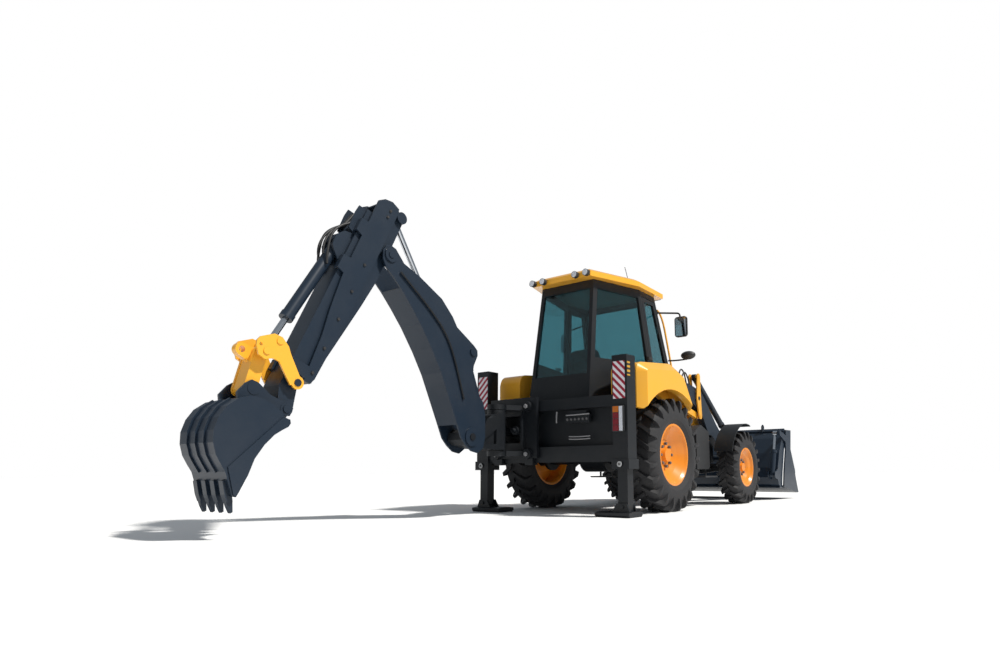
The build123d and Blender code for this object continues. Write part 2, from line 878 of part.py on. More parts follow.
with BuildPart() as lamps:
    for y in (-417, -252, 252, 417):
        with BuildSketch(across(-906)):
            with Locations((y, 2936)):
                Circle(42)
        extrude(amount=50)
        with BuildSketch(across(-860)):
            with Locations((y, 2936)):
                Rectangle(30, 40)
        extrude(amount=22)
    for y in (-520, -330, 330, 520):
        with BuildSketch(across(722)):
            with Locations((y, 2936)):
                RectangleRounded(140, 60, 14)
        extrude(amount=44)
    for sign in (1, -1):
        with BuildSketch(across(LEG_X - TUBE / 2 - 32)):
            with Locations((sign * 1020, 1081)):
                RectangleRounded(148, 292, 16)
        extrude(amount=31.5)
save(lamps, "lamps")

with BuildPart() as headlamps:
    with BuildSketch(across(2800)):
        for y in (-270, 270):
            with Locations((y, 1310)):
                RectangleRounded(150, 110, 20)
    extrude(amount=30)
save(headlamps, "headlamps")

# ------------------------------------------------------------------ hydraulic rams
def ram(name, base, eye, rows, barrel, piston, bore, rod_r, pin, eye_r, eye_width):
    """A ram for each row: a barrel with a pin eye and a gland, and a rod with a piston and an eye."""
    length = reach(base, eye)
    with BuildPart() as ram_barrel:
        for y in rows:
            with BuildSketch(towards(base, eye, y, 0.6 * eye_r)):
                Circle(bore + 9)
            extrude(amount=barrel - 0.6 * eye_r)
            with BuildSketch(towards(base, eye, y, barrel - 55)):
                Circle(bore + 15)
            extrude(amount=55)
            with BuildSketch(side(y)):
                with Locations(base):
                    Circle(eye_r)
            extrude(amount=eye_width / 2, both=True)
            with BuildSketch(side(y)):
                with Locations(base):
                    Circle(pin + FIT)
            extrude(amount=eye_width, both=True, mode=Mode.SUBTRACT)
            with BuildSketch(towards(base, eye, y, eye_r + 30)):
                Circle(bore)
            extrude(amount=barrel - 50 - eye_r - 30, mode=Mode.SUBTRACT)
            with BuildSketch(towards(base, eye, y, barrel - 55)):
                Circle(rod_r + 1)
            extrude(amount=80, mode=Mode.SUBTRACT)
    save(ram_barrel, f"{name}_barrel")
    with BuildPart() as ram_rod:
        for y in rows:
            with BuildSketch(towards(base, eye, y, piston)):
                Circle(rod_r)
            extrude(amount=length - piston)
            with BuildSketch(towards(base, eye, y, piston)):
                Circle(bore - 1)
            extrude(amount=20)
            with BuildSketch(side(y)):
                with Locations(eye):
                    Circle(eye_r)
            extrude(amount=eye_width / 2, both=True)
    save(ram_rod, f"{name}_rod")


def plates(outlines, ys, thickness):
    """Flat plates cut to an outline, one at each lateral place."""
    with BuildPart() as cut:
        for y in ys:
            with BuildSketch(side(y)):
                add(outline(outlines))
            extrude(amount=thickness / 2, both=True)
    return cut.part


# ------------------------------------------------------------------ backhoe carriage and kingpost
CARRIAGE_HALF = 371.0
with BuildPart() as carriage:
    with BuildSketch(across(-1190)):
        with Locations((HOE_Y, 1035)):
            Rectangle(2 * CARRIAGE_HALF, 742)
        with Locations((HOE_Y, 1018)):
            RectangleRounded(300, 330, 60, mode=Mode.SUBTRACT)
    extrude(amount=44)
    for y in (HOE_Y - 246, HOE_Y + 246):
        # clamps that hook over the flanges of the two slide beams
        with BuildSketch(side(y)):
            with BuildLine():
                Polyline(
                    (-1190, 1330),
                    (-1190, 1406),
                    (-1088, 1406),
                    (-1088, 1347),
                    (-1108, 1347),
                    (-1108, 1367),
                    (-1146, 1367),
                    (-1146, 1330),
                    close=True,
                )
            make_face()
        extrude(amount=60, both=True)
        with BuildSketch(side(y)):
            with BuildLine():
                Polyline(
                    (-1190, 664),
                    (-1190, 583),
                    (-1088, 583),
                    (-1088, 622),
                    (-1108, 622),
                    (-1108, 603),
                    (-1146, 603),
                    (-1146, 664),
                    close=True,
                )
            make_face()
        extrude(amount=60, both=True)
        with BuildSketch(across(-1240)):
            with Locations((y, 1294), (y, 714)):
                Circle(62)
        extrude(amount=51)
    # swing lugs, thick plates with a tapered outline
    for foot in (690, 1244):
        with BuildSketch(level(foot)):
            with BuildLine():
                Polyline(
                    (-1189, HOE_Y - 230),
                    (-1440, HOE_Y - 105),
                    (-1440, HOE_Y + 105),
                    (-1189, HOE_Y + 230),
                    close=True,
                )
            make_face()
            with Locations((SWING_X, HOE_Y)):
                Circle(112)
        extrude(amount=60)
    for sign in (1, -1):
        with BuildSketch(side(HOE_Y + sign * 190)):
            with BuildLine():
                Polyline(
                    (-1189, 750),
                    (-1189, 1244),
                    (-1230, 1244),
                    (-1270, 1120),
                    (-1270, 870),
                    (-1230, 750),
                    close=True,
                )
            make_face()
        extrude(amount=14, both=True)
    with BuildSketch(level(680)):
        with Locations((SWING_X, HOE_Y)):
            Circle(46)
    extrude(amount=640, mode=Mode.SUBTRACT)
    # swing rams, laid between the lugs
    for sign in (1, -1):
        with BuildSketch(across(-1300)):
            with Locations((HOE_Y + sign * 118, 1000)):
                Circle(52)
        extrude(amount=250)
        with BuildSketch(across(-1350)):
            with Locations((HOE_Y + sign * 118, 1000)):
                Circle(26)
        extrude(amount=60)
save(carriage, "carriage")

POST_HALF = 128.0
with BuildPart() as kingpost:
    with BuildSketch(level(756)):
        with Locations((SWING_X, HOE_Y)):
            Circle(108)
    extrude(amount=482)
    with BuildSketch(level(692)):
        with Locations((SWING_X, HOE_Y)):
            Circle(46 - FIT)
    extrude(amount=610)
    with BuildSketch(side(HOE_Y)):
        with BuildLine():
            Polyline(
                (-1500, 760),
                (-1500, 1200),
                (-1640, 1180),
                (-1720, 1128),
                (-1800, 1120),
                (-1836, 1050),
                (-1900, 1000),
                (-2080, 985),
                (-2170, 940),
                (-2180, 860),
                (-2120, 806),
                (-1900, 770),
                close=True,
            )
        make_face()
    extrude(amount=POST_HALF, both=True)
    # slot for the boom ram and lightening of the cheeks
    with BuildSketch(side(HOE_Y)):
        with BuildLine():
            Polyline((-1655, 985), (-1655, 1220), (-1990, 1220), (-1900, 985), close=True)
        make_face()
    extrude(amount=68, both=True, mode=Mode.SUBTRACT)
    for y in (HOE_Y - POST_HALF, HOE_Y + POST_HALF):
        with BuildSketch(side(y)):
            with BuildLine():
                Polyline((-1640, 830), (-1640, 1000), (-1700, 960), (-1860, 860), (-1800, 820), close=True)
            make_face()
        extrude(amount=34, both=True, mode=Mode.SUBTRACT)
    with BuildSketch(side(HOE_Y)):
        with Locations(BOOM_RAM_BASE):
            Circle(32)
        with Locations(BOOM_FOOT):
            Circle(40)
    extrude(amount=POST_HALF, both=True)
    with BuildSketch(side(HOE_Y)):
        with Locations(BOOM_FOOT):
            Circle(40)
    extrude(amount=BOOM_HALF + 26, both=True)
save(kingpost, "kingpost")

# ------------------------------------------------------------------ boom
BOOM_PLATE = (
    (-2330, 1060),
    (-2440, 1300),
    (-2560, 1560),
    (-2700, 1800),
    (-2860, 2035),
    (-3000, 2210),
    (-3132, 2360),
    (-3229, 2456),
    (-3321, 2534),
    (-3362, 2612),
    (-3362, 2700),
    (-3325, 2755),
    (-3269, 2770),
    (-3205, 2748),
    (-3096, 2625),
    (-2870, 2530),
    (-2563, 2365),
    (-2400, 2200),
    (-2330, 2095),
    (-2203, 2017),
    (-2060, 1928),
    (-2004, 1880),
    (-2000, 1820),
    (-2060, 1700),
    (-2085, 1570),
    (-2065, 1470),
    (-1985, 1380),
    (-1900, 1290),
    (-1866, 1150),
    (-1866, 892),
    (-1900, 770),
    (-1985, 715),
    (-2086, 735),
    (-2175, 800),
    (-2250, 880),
)
BOOM_TOP_FLANGE = ((-2346, 2120), (-2330, 2095), (-2203, 2017), (-2150, 1984))
BOOM_UNDER_FLANGE = (
    (-2310, 1016),
    (-2330, 1060),
    (-2440, 1300),
    (-2560, 1560),
    (-2700, 1800),
    (-2860, 2035),
    (-3000, 2210),
    (-3132, 2360),
)


def strip(points, width, thickness, inward):
    """A folded plate that follows a line of side-view points between two side plates."""
    with BuildPart() as folded:
        with BuildSketch(side(HOE_Y)):
            with BuildLine():
                line = Polyline(*points)
                offset(line, amount=thickness, side=inward)
            make_face()
        extrude(amount=width / 2, both=True)
    return folded.part


with BuildPart() as boom:
    add(plates(BOOM_PLATE, (HOE_Y - BOOM_HALF + PLATE / 2, HOE_Y + BOOM_HALF - PLATE / 2), PLATE))
    inside = 2 * (BOOM_HALF - PLATE)
    add(strip(BOOM_UNDER_FLANGE, inside, PLATE, Side.RIGHT))
    add(strip(BOOM_TOP_FLANGE, inside, PLATE, Side.RIGHT))
    for y in (HOE_Y - BOOM_HALF - 7, HOE_Y + BOOM_HALF + 7):
        with BuildSketch(side(y)):
            with Locations(BOOM_TIP):
                Circle(74)
            with Locations(BOOM_RAM_EYE):
                Circle(48)
            with Locations(BOOM_FOOT):
                Circle(105)
        extrude(amount=8, both=True)
    with BuildSketch(side(HOE_Y)):
        with Locations(BOOM_FOOT):
            Circle(40 + FIT)
        with Locations(BOOM_TIP):
            Circle(34 + FIT)
    extrude(amount=BOOM_HALF + 40, both=True, mode=Mode.SUBTRACT)
    # ram clevises inside the box, and cross ties
    for y in (HOE_Y - 104, HOE_Y + 104):
        with BuildSketch(side(y)):
            with Locations(BOOM_RAM_EYE, DIPPER_RAM_BASE):
                Circle(62)
        extrude(amount=31, both=True)
    with BuildSketch(side(HOE_Y)):
        with Locations(DIPPER_RAM_BASE):
            Circle(30)
    extrude(amount=100, both=True)
    with BuildSketch(side(HOE_Y)):
        with Locations((-2480, 1600), (-2230, 1210)):
            Circle(42)
    extrude(amount=BOOM_HALF - PLATE, both=True)
save(boom, "boom")

ram("boom_ram", BOOM_RAM_BASE, BOOM_RAM_EYE, (HOE_Y,), 700, 192, 52, 30, 32, 58, 84)

# ------------------------------------------------------------------ dipper, extension and their rams
DIPPER_PIN = 34.0
DIPPER_RAM_EYE = dipper_point(-465, 42)
DIPPER_SIDE = (
    (-405, 362),
    (-470, 308),
    (-508, 225),
    (-497, 128),
    (-440, 115),
    (880, 122),
    (1560, 158),
    (1620, 180),
    (1620, 246),
    (1160, 278),
    (900, 320),
    (540, 358),
)
EXTENSION_HALF, EXTENSION_FRONT, EXTENSION_BACK = 124.0, 256.0, 410.0
EXTENSION_HEAD, EXTENSION_END = -250.0, 1990.0

with BuildPart() as dipper:
    for w in (-BOOM_HALF, BOOM_HALF - PLATE):
        with BuildSketch(along_dipper(HOE_Y + w)):
            add(outline(DIPPER_SIDE))
        extrude(amount=PLATE)
    # front and middle webs of the box, and its end plate
    # start and end down the dipper, front and back faces
    webs = ((-440, 1600, 160, 180), (-440, 1600, 230, 250), (-460, -440, 125, 300), (1580, 1600, 160, 250))
    for start, end, front, back in webs:
        with BuildSketch(along_dipper(HOE_Y)):
            with Locations(((start + end) / 2, (front + back) / 2)):
                Rectangle(end - start, back - front)
        extrude(amount=BOOM_HALF - PLATE, both=True)
    # ear block between the boom's cheeks
    for w in (-92, 52):
        with BuildSketch(along_dipper(HOE_Y + w)):
            with BuildLine():
                Polyline(
                    (-508, 170),
                    (-524, 85),
                    (-500, 8),
                    (-440, -6),
                    (-112, -8),
                    (-70, -72),
                    (0, -95),
                    (75, -65),
                    (112, -15),
                    (324, -15),
                    (657, 22),
                    (973, 66),
                    (1300, 112),
                    (1330, 170),
                    close=True,
                )
            make_face()
        extrude(amount=40)
    for w in (-128, 92):
        with BuildSketch(along_dipper(HOE_Y + w)):
            with Locations((0, 0), (-465, 42)):
                Circle(62)
        extrude(amount=36)
    with BuildSketch(along_dipper(HOE_Y)):
        Circle(DIPPER_PIN)
    extrude(amount=BOOM_HALF + 24, both=True)
    # keeper lips that hold the extension against the beam
    for sign in (1, -1):
        for start, end in ((-120, 60), (330, 520)):
            with BuildSketch(along_dipper(HOE_Y + sign * 145)):
                with BuildLine():
                    Polyline((start, 330), (start + 20, 436), (end - 20, 436), (end, 330), close=True)
                make_face()
            extrude(amount=10, both=True)
            with BuildSketch(along_dipper(HOE_Y + sign * 125)):
                with Locations(((start + end) / 2, 426)):
                    Rectangle(end - start - 40, 20)
            extrude(amount=30, both=True)
        with BuildSketch(along_dipper(HOE_Y + sign * 145)):
            with BuildLine():
                Polyline((1480, 200), (1490, 436), (1590, 436), (1600, 200), close=True)
            make_face()
        extrude(amount=10, both=True)
        with BuildSketch(along_dipper(HOE_Y + sign * 125)):
            with Locations((1540, 426)):
                Rectangle(100, 20)
        extrude(amount=30, both=True)
save(dipper, "dipper")

ram("dipper_ram", DIPPER_RAM_BASE, DIPPER_RAM_EYE, (HOE_Y,), 1060, 772, 52, 30, 30, 54, 84)

HOE_PIN = dipper_point(1922, 274)
LINK_FOOT = dipper_point(1680, 300)
LINK_HEAD = dipper_point(1450, 600)
LINK_TIE = (-4536.0, 1507.0)
HOE_LINK_PIN = dipper_point(1905, 600)
BUCKET_RAM_BASE = dipper_point(270, 478)

with BuildPart() as dipper_extension:
    with BuildSketch(along_dipper(HOE_Y)):
        with BuildLine():
            Polyline(
                (EXTENSION_HEAD, EXTENSION_FRONT),
                (EXTENSION_HEAD, EXTENSION_BACK),
                (1760, EXTENSION_BACK),
                (1900, 350),
                (EXTENSION_END, 320),
                (EXTENSION_END + 8, 274),
                (EXTENSION_END - 10, 228),
                (1880, 206),
                (1700, EXTENSION_FRONT),
                close=True,
            )
        make_face()
    extrude(amount=EXTENSION_HALF, both=True)
    with BuildSketch(along_dipper(HOE_Y)):
        with Locations(((EXTENSION_HEAD + 1600) / 2, (EXTENSION_FRONT + EXTENSION_BACK) / 2)):
            Rectangle(1600 - EXTENSION_HEAD + 2, EXTENSION_BACK - EXTENSION_FRONT - 32)
    extrude(amount=EXTENSION_HALF - 16, both=True, mode=Mode.SUBTRACT)
    # bucket ram bracket on the back, with its hose guard
    for w in (-88, 66):
        with BuildSketch(along_dipper(HOE_Y + w)):
            with BuildLine():
                Polyline((60, 405), (100, 500), (190, 556), (300, 548), (350, 500), (420, 405), close=True)
            make_face()
        extrude(amount=22)
    with BuildSketch(along_dipper(HOE_Y)):
        with Locations((270, 478)):
            Circle(28)
    extrude(amount=80, both=True)
    for w in (-94, 82):
        with BuildSketch(along_dipper(HOE_Y + w)):
            with BuildLine():
                Polyline((-250, 405), (-236, 488), (-150, 496), (40, 486), (60, 405), close=True)
            make_face()
        extrude(amount=12)
    # pins of the links and of the bucket
    with BuildSketch(along_dipper(HOE_Y)):
        with Locations((1680, 300)):
            Circle(32)
    extrude(amount=194, both=True)
    with BuildSketch(along_dipper(HOE_Y)):
        with Locations((1922, 274)):
            Circle(32)
    extrude(amount=172, both=True)
save(dipper_extension, "dipper_extension")

ram("bucket_ram", BUCKET_RAM_BASE, LINK_HEAD, (HOE_Y,), 900, 322, 48, 28, 28, 50, 80)


def link_outline(start, end, start_r, end_r):
    """The outline of a link: two round ends joined by their tangents."""
    with BuildSketch() as shape:
        with Locations(start):
            Circle(start_r)
        with Locations(end):
            Circle(end_r)
        make_hull()
    return shape.sketch


SIDE_LINK = (
    (-4626, 1545),
    (-4622, 1588),
    (-4592, 1622),
    (-4474, 1662),
    (-4403, 1642),
    (-4343, 1572),
    (-4316, 1500),
    (-4208, 1285),
    (-4316, 1244),
    (-4423, 1432),
    (-4480, 1452),
    (-4548, 1436),
    (-4604, 1468),
)
with BuildPart() as side_links:
    for w in (-176, 176):
        with BuildSketch(side(HOE_Y + w)):
            add(outline(SIDE_LINK))
            with Locations(LINK_FOOT):
                Circle(58)
                Circle(32 + FIT, mode=Mode.SUBTRACT)
            with Locations((-4590, 1556)):
                Circle(14, mode=Mode.SUBTRACT)
        extrude(amount=10, both=True)
    # pins of the ram's eye and of the tipping link
    with BuildSketch(side(HOE_Y)):
        with Locations(LINK_TIE):
            Circle(30)
    extrude(amount=196, both=True)
    for w in (-118, 118):
        with BuildSketch(side(HOE_Y + w)):
            with Locations(LINK_HEAD):
                Circle(30)
        extrude(amount=77, both=True)
save(side_links, "side_links")

HOOK = (-4664.0, 1522.0)
with BuildPart() as tipping_link:
    # box between the pins, in three layers so that its sides stand proud
    for w, half, start_r, end_r in ((-88, 12, 56, 58), (88, 12, 56, 58), (0, 77, 50, 52)):
        with BuildSketch(side(HOE_Y + w)):
            add(link_outline(LINK_TIE, HOE_LINK_PIN, start_r, end_r))
        extrude(amount=half, both=True)
    # lifting eye on the back of the link's head
    with BuildSketch(side(HOE_Y)):
        add(link_outline((-4566, 1478), HOOK, 64, 54))
    extrude(amount=32, both=True)
    with BuildSketch(side(HOE_Y)):
        with Locations(HOOK):
            Circle(27)
        with Locations(LINK_TIE):
            Circle(30 + FIT)
    extrude(amount=110, both=True, mode=Mode.SUBTRACT)
    with BuildSketch(side(HOE_Y)):
        with Locations(HOE_LINK_PIN):
            Circle(36)
    extrude(amount=122, both=True)
save(tipping_link, "tipping_link")

# ------------------------------------------------------------------ backhoe bucket
HOE_HALF = 270.0
HOE_BACK = (
    (-4790, 1088),
    (-4880, 1022),
    (-4938, 935),
    (-4970, 835),
    (-4970, 740),
    (-4945, 650),
    (-4905, 580),
    (-4866, 520),
)
HOE_CROWN = ((-4400, 962), (-4450, 1022), (-4520, 1068), (-4600, 1102), (-4690, 1116))
HOE_SHELL = HOE_CROWN + HOE_BACK + ((-4808, 335),)
HOE_FRONT = (
    (-4779, 326),
    (-4758, 363),
    (-4694, 490),
    (-4645, 621),
    (-4570, 731),
    (-4490, 813),
    (-4423, 856),
    (-4372, 883),
    (-4352, 912),
    (-4358, 945),
)
HOE_EAR = (
    (-4352, 985),
    (-4420, 930),
    (-4520, 1000),
    (-4740, 1070),
    (-4750, 1150),
    (-4680, 1232),
    (-4635, 1260),
    (-4575, 1238),
    (-4470, 1150),
    (-4375, 1112),
    (-4300, 1104),
    (-4262, 1050),
    (-4290, 985),
)
with BuildPart() as hoe_bucket:
    add(plates(HOE_SHELL + HOE_FRONT, (HOE_Y - HOE_HALF + 11, HOE_Y + HOE_HALF - 11), 22))
    add(strip(HOE_SHELL, 2 * HOE_HALF, 20, Side.LEFT))
    # thicker plate along the mouth of each cheek
    doubler = HOE_FRONT + ((-4420, 958), (-4852, 556), (-4800, 345))
    add(plates(doubler, (HOE_Y - HOE_HALF - 3, HOE_Y + HOE_HALF + 3), 14))
    # ribs over the back
    for w in (-135, 0, 135):
        add(Pos(0, w, 0) * strip(HOE_BACK, 24, 14, Side.RIGHT))
    # mounting ears
    for w in (-145, 145):
        with BuildSketch(side(HOE_Y + w)):
            add(outline(HOE_EAR))
        extrude(amount=14, both=True)
        with BuildSketch(side(HOE_Y + w)):
            with Locations(HOE_LINK_PIN, HOE_PIN):
                Circle(56)
        extrude(amount=18, both=True)
    with BuildSketch(side(HOE_Y)):
        with Locations(HOE_PIN):
            Circle(32 + FIT)
    extrude(amount=200, both=True, mode=Mode.SUBTRACT)
    # teeth, bolted over the lip: an adapter and a narrower point
    for w in (-205, -68, 68, 205):
        for half, points in (
            (32, ((-4868, 452), (-4846, 345), (-4824, 288), (-4780, 292), (-4788, 345), (-4818, 455))),
            (20, ((-4832, 310), (-4814, 256), (-4787, 203), (-4770, 212), (-4776, 310))),
        ):
            with BuildSketch(side(HOE_Y + w)):
                with BuildLine():
                    Polyline(*points, close=True)
                make_face()
            extrude(amount=half, both=True)
save(hoe_bucket, "hoe_bucket")

# ------------------------------------------------------------------ loader arms and linkage
ARM_ROWS = (ARM_Y, -ARM_Y)
LIFT_RAM_EYE = (2330.0, 1130.0)
LEVER_ARM = (LEVER_TOP[0] - LEVER_PIVOT[0], LEVER_TOP[1] - LEVER_PIVOT[1])
TILT_RAM_EYE = (BUCKET_PIVOT[0] + LEVER_ARM[0], BUCKET_PIVOT[1] + LEVER_ARM[1])
LEVER_ROWS = (468.0, 602.0)
BUCKET_PIN = 34.0
ARM_SIDE = (
    (1062, 1826),
    (1130, 1853),
    (1756, 1772),
    (2040, 1716),
    (2140, 1640),
    (2584, 1238),
    (3300, 712),
    (3560, 524),
    (3650, 500),
    (3684, 430),
    (3660, 366),
    (3590, 344),
    (3500, 372),
    (2900, 712),
    (2480, 1010),
    (2380, 1056),
    (2290, 1056),
    (2200, 1170),
    (2080, 1330),
    (1800, 1490),
    (1236, 1662),
    (1130, 1677),
    (1062, 1704),
)
with BuildPart() as loader_arms:
    add(plates(ARM_SIDE, ARM_ROWS, ARM_WIDTH))
    for y in ARM_ROWS:
        with BuildSketch(side(y)):
            with BuildLine():
                Polyline(
                    (2190, 960),
                    (2440, 960),
                    (2462, 1130),
                    (2440, 1196),
                    (2360, 1250),
                    (2240, 1230),
                    (2130, 1110),
                    close=True,
                )
            make_face()
        extrude(amount=31, both=True, mode=Mode.SUBTRACT)
        with BuildSketch(side(y)):
            with Locations(ARM_PIVOT):
                Circle(ARM_PIN + FIT)
            with Locations(BUCKET_PIVOT):
                Circle(BUCKET_PIN + FIT)
        extrude(amount=ARM_WIDTH, both=True, mode=Mode.SUBTRACT)
        with BuildSketch(side(y)):
            with Locations(LEVER_PIVOT):
                Circle(30)
        extrude(amount=84, both=True)
    with BuildSketch(side(0)):
        with Locations((3150, 692)):
            Circle(62)
    extrude(amount=ARM_Y - ARM_WIDTH / 2, both=True)
save(loader_arms, "loader_arms")

with BuildPart() as loader_levers:
    for sign in (1, -1):
        for row in LEVER_ROWS:
            with BuildSketch(side(sign * row)):
                add(link_outline(LEVER_TOP, LEVER_PIVOT, 50, 72))
                add(link_outline(LEVER_PIVOT, LEVER_FOOT, 72, 48))
                with Locations(LEVER_PIVOT):
                    Circle(30 + FIT, mode=Mode.SUBTRACT)
            extrude(amount=10, both=True)
        with BuildSketch(side(sign * ARM_Y)):
            with Locations(LEVER_TOP):
                Circle(RAM_PIN)
            with Locations(LEVER_FOOT):
                Circle(LINK_PIN)
        extrude(amount=80, both=True)
save(loader_levers, "loader_levers")

with BuildPart() as parallel_links:
    for y in ARM_ROWS:
        with BuildSketch(side(y)):
            add(link_outline(LINK_PIVOT, LEVER_FOOT, 44, 44))
            with Locations(LINK_PIVOT, LEVER_FOOT):
                Circle(LINK_PIN + FIT, mode=Mode.SUBTRACT)
        extrude(amount=30, both=True)
save(parallel_links, "parallel_links")

ram("lift_ram", LIFT_RAM_BASE, LIFT_RAM_EYE, ARM_ROWS, 1060, 78, 40, 26, RAM_PIN, 44, 54)
ram("tilt_ram", LEVER_TOP, TILT_RAM_EYE, ARM_ROWS, 1250, 864, 38, 24, RAM_PIN, 44, 56)

with BuildPart() as bucket_pins:
    for y in ARM_ROWS:
        with BuildSketch(side(y)):
            with Locations(BUCKET_PIVOT):
                Circle(BUCKET_PIN)
        extrude(amount=84, both=True)
save(bucket_pins, "bucket_pins")

# ------------------------------------------------------------------ four-in-one loader bucket
CHEEK_Y, CHEEK = 1161.0, 22.0
CLAM_RAM_Y = 1112.0
CLAM_RAM_BASE = (3620.0, 420.0)
CLAM_RAM_EYE = (3860.0, 1130.0)
MOULDBOARD = (
    (4175, 1196),
    (4020, 1050),
    (3840, 790),
    (3740, 540),
    (3714, 380),
    (3750, 262),
    (3830, 222),
    (3925, 222),
)
with BuildPart() as loader_bucket:
    with BuildSketch(side(0)):
        with BuildLine():
            back = Polyline(*MOULDBOARD)
            offset(back, amount=22, side=Side.LEFT)
        make_face()
    extrude(amount=CHEEK_Y + CHEEK / 2, both=True)
    cheek = MOULDBOARD + ((3985, 470), (4120, 850), (4170, 905), (4290, 905), (4315, 1000), (4290, 1070))
    add(plates(cheek, (CHEEK_Y, -CHEEK_Y), CHEEK))
    # top roll and cutting edge
    with BuildSketch(side(0)):
        with BuildLine():
            Polyline((4150, 1160), (4128, 1180), (4175, 1222), (4215, 1206), (4205, 1180), close=True)
        make_face()
        with BuildLine():
            Polyline((3790, 222), (3790, 202), (3925, 202), (3932, 212), (3925, 246), close=True)
        make_face()
    extrude(amount=CHEEK_Y + CHEEK / 2, both=True)
    for sign in (1, -1):
        for row in (473.0, 597.0):
            with BuildSketch(side(sign * row)):
                with BuildLine():
                    Polyline(
                        (3560, 765),
                        (3575, 810),
                        (3640, 826),
                        (3860, 840),
                        (3760, 600),
                        (3730, 400),
                        (3738, 320),
                        (3640, 356),
                        (3560, 356),
                        (3515, 400),
                        (3515, 470),
                        close=True,
                    )
                make_face()
            extrude(amount=8, both=True)
        for row in (490.5, 579.5):
            with BuildSketch(side(sign * row)):
                with Locations(TILT_RAM_EYE):
                    Circle(50)
            extrude(amount=9.5, both=True)
        with BuildSketch(side(sign * ARM_Y)):
            with Locations(BUCKET_PIVOT):
                Circle(BUCKET_PIN + FIT)
        extrude(amount=100, both=True, mode=Mode.SUBTRACT)
        for row in (CLAM_RAM_Y - 54, CLAM_RAM_Y + 54):
            with BuildSketch(side(sign * row)):
                with BuildLine():
                    Polyline(
                        (3590, 372),
                        (3572, 420),
                        (3590, 466),
                        (3735, 520),
                        (3718, 400),
                        (3726, 340),
                        close=True,
                    )
                make_face()
            extrude(amount=8, both=True)
        with BuildSketch(side(sign * CLAM_RAM_Y)):
            with Locations(CLAM_RAM_BASE):
                Circle(22)
        extrude(amount=61, both=True)
        with BuildSketch(side(sign * 1176)):
            with Locations(CLAM_PIVOT):
                Circle(30)
        extrude(amount=24, both=True)
        with BuildSketch(side(sign * 800)):
            with BuildLine():
                Polyline((4105, 1150), (4116, 1268), (4160, 1304), (4206, 1268), (4204, 1192), close=True)
            make_face()
            with Locations((4160, 1262)):
                Circle(20, mode=Mode.SUBTRACT)
        extrude(amount=12, both=True)
save(loader_bucket, "loader_bucket")

CLAM_CHEEK = (
    (3838, 1090),
    (3826, 1130),
    (3844, 1166),
    (3880, 1172),
    (4160, 1100),
    (4178, 1196),
    (4449, 1200),
    (4396, 860),
    (4597, 499),
    (4612, 392),
    (4745, 105),
    (4700, 100),
    (3940, 218),
    (3998, 466),
    (4134, 850),
    (4140, 980),
    (3880, 1078),
)
with BuildPart() as bucket_clam:
    add(plates(CLAM_CHEEK, (1189, -1189), 22))
    with BuildSketch(side(0)):
        with BuildLine():
            Polyline(
                (3942, 218),
                (3945, 241),
                (4100, 224),
                (4540, 168),
                (4748, 118),
                (4752, 96),
                (4690, 99),
                close=True,
            )
        make_face()
    extrude(amount=1178, both=True)
    for sign in (1, -1):
        with BuildSketch(side(sign * 1189)):
            with Locations(CLAM_PIVOT):
                Circle(30 + FIT)
        extrude(amount=20, both=True, mode=Mode.SUBTRACT)
        with BuildSketch(side(sign * 1173)):
            with Locations(CLAM_RAM_EYE):
                Circle(26)
        extrude(amount=22, both=True)
save(bucket_clam, "bucket_clam")

ram("clam_ram", CLAM_RAM_BASE, CLAM_RAM_EYE, (CLAM_RAM_Y, -CLAM_RAM_Y), 440, 355, 32, 20, 22, 36, 60)
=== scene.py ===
"""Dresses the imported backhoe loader: paint, rubber, glass, lamps, hoses and the small fitted pieces."""

import math

import bmesh
import bpy
from mathutils import Matrix, Vector


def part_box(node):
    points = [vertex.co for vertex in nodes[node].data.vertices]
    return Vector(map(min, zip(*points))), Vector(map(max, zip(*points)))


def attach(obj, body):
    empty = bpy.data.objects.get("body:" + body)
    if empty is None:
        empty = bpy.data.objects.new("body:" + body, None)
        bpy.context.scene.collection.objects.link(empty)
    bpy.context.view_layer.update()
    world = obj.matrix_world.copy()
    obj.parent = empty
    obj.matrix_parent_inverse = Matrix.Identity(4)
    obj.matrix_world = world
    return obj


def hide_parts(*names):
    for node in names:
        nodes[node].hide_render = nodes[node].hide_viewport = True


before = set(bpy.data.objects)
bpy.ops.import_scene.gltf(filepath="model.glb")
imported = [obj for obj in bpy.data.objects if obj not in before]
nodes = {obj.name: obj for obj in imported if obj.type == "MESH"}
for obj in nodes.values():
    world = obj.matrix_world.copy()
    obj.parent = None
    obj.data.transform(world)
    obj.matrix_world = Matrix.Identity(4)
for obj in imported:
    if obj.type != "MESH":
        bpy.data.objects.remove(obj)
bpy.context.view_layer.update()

# ------------------------------------------------------------------ camera
# A short lens at about knee height, behind the machine and to its right. It is tilted a little
# upward, and its frame is shifted so that the machine stands low and to one side.
LENS, SENSOR = 23.467, 36.0
SHIFT_RIGHT, SHIFT_UP = -0.0576, 0.0577
VIEWPOINT = (-7.2454, -4.7476, 0.5112)
HEADING, TILT, LEAN = 36.343, 6.961, -0.367
FARTHEST = 200

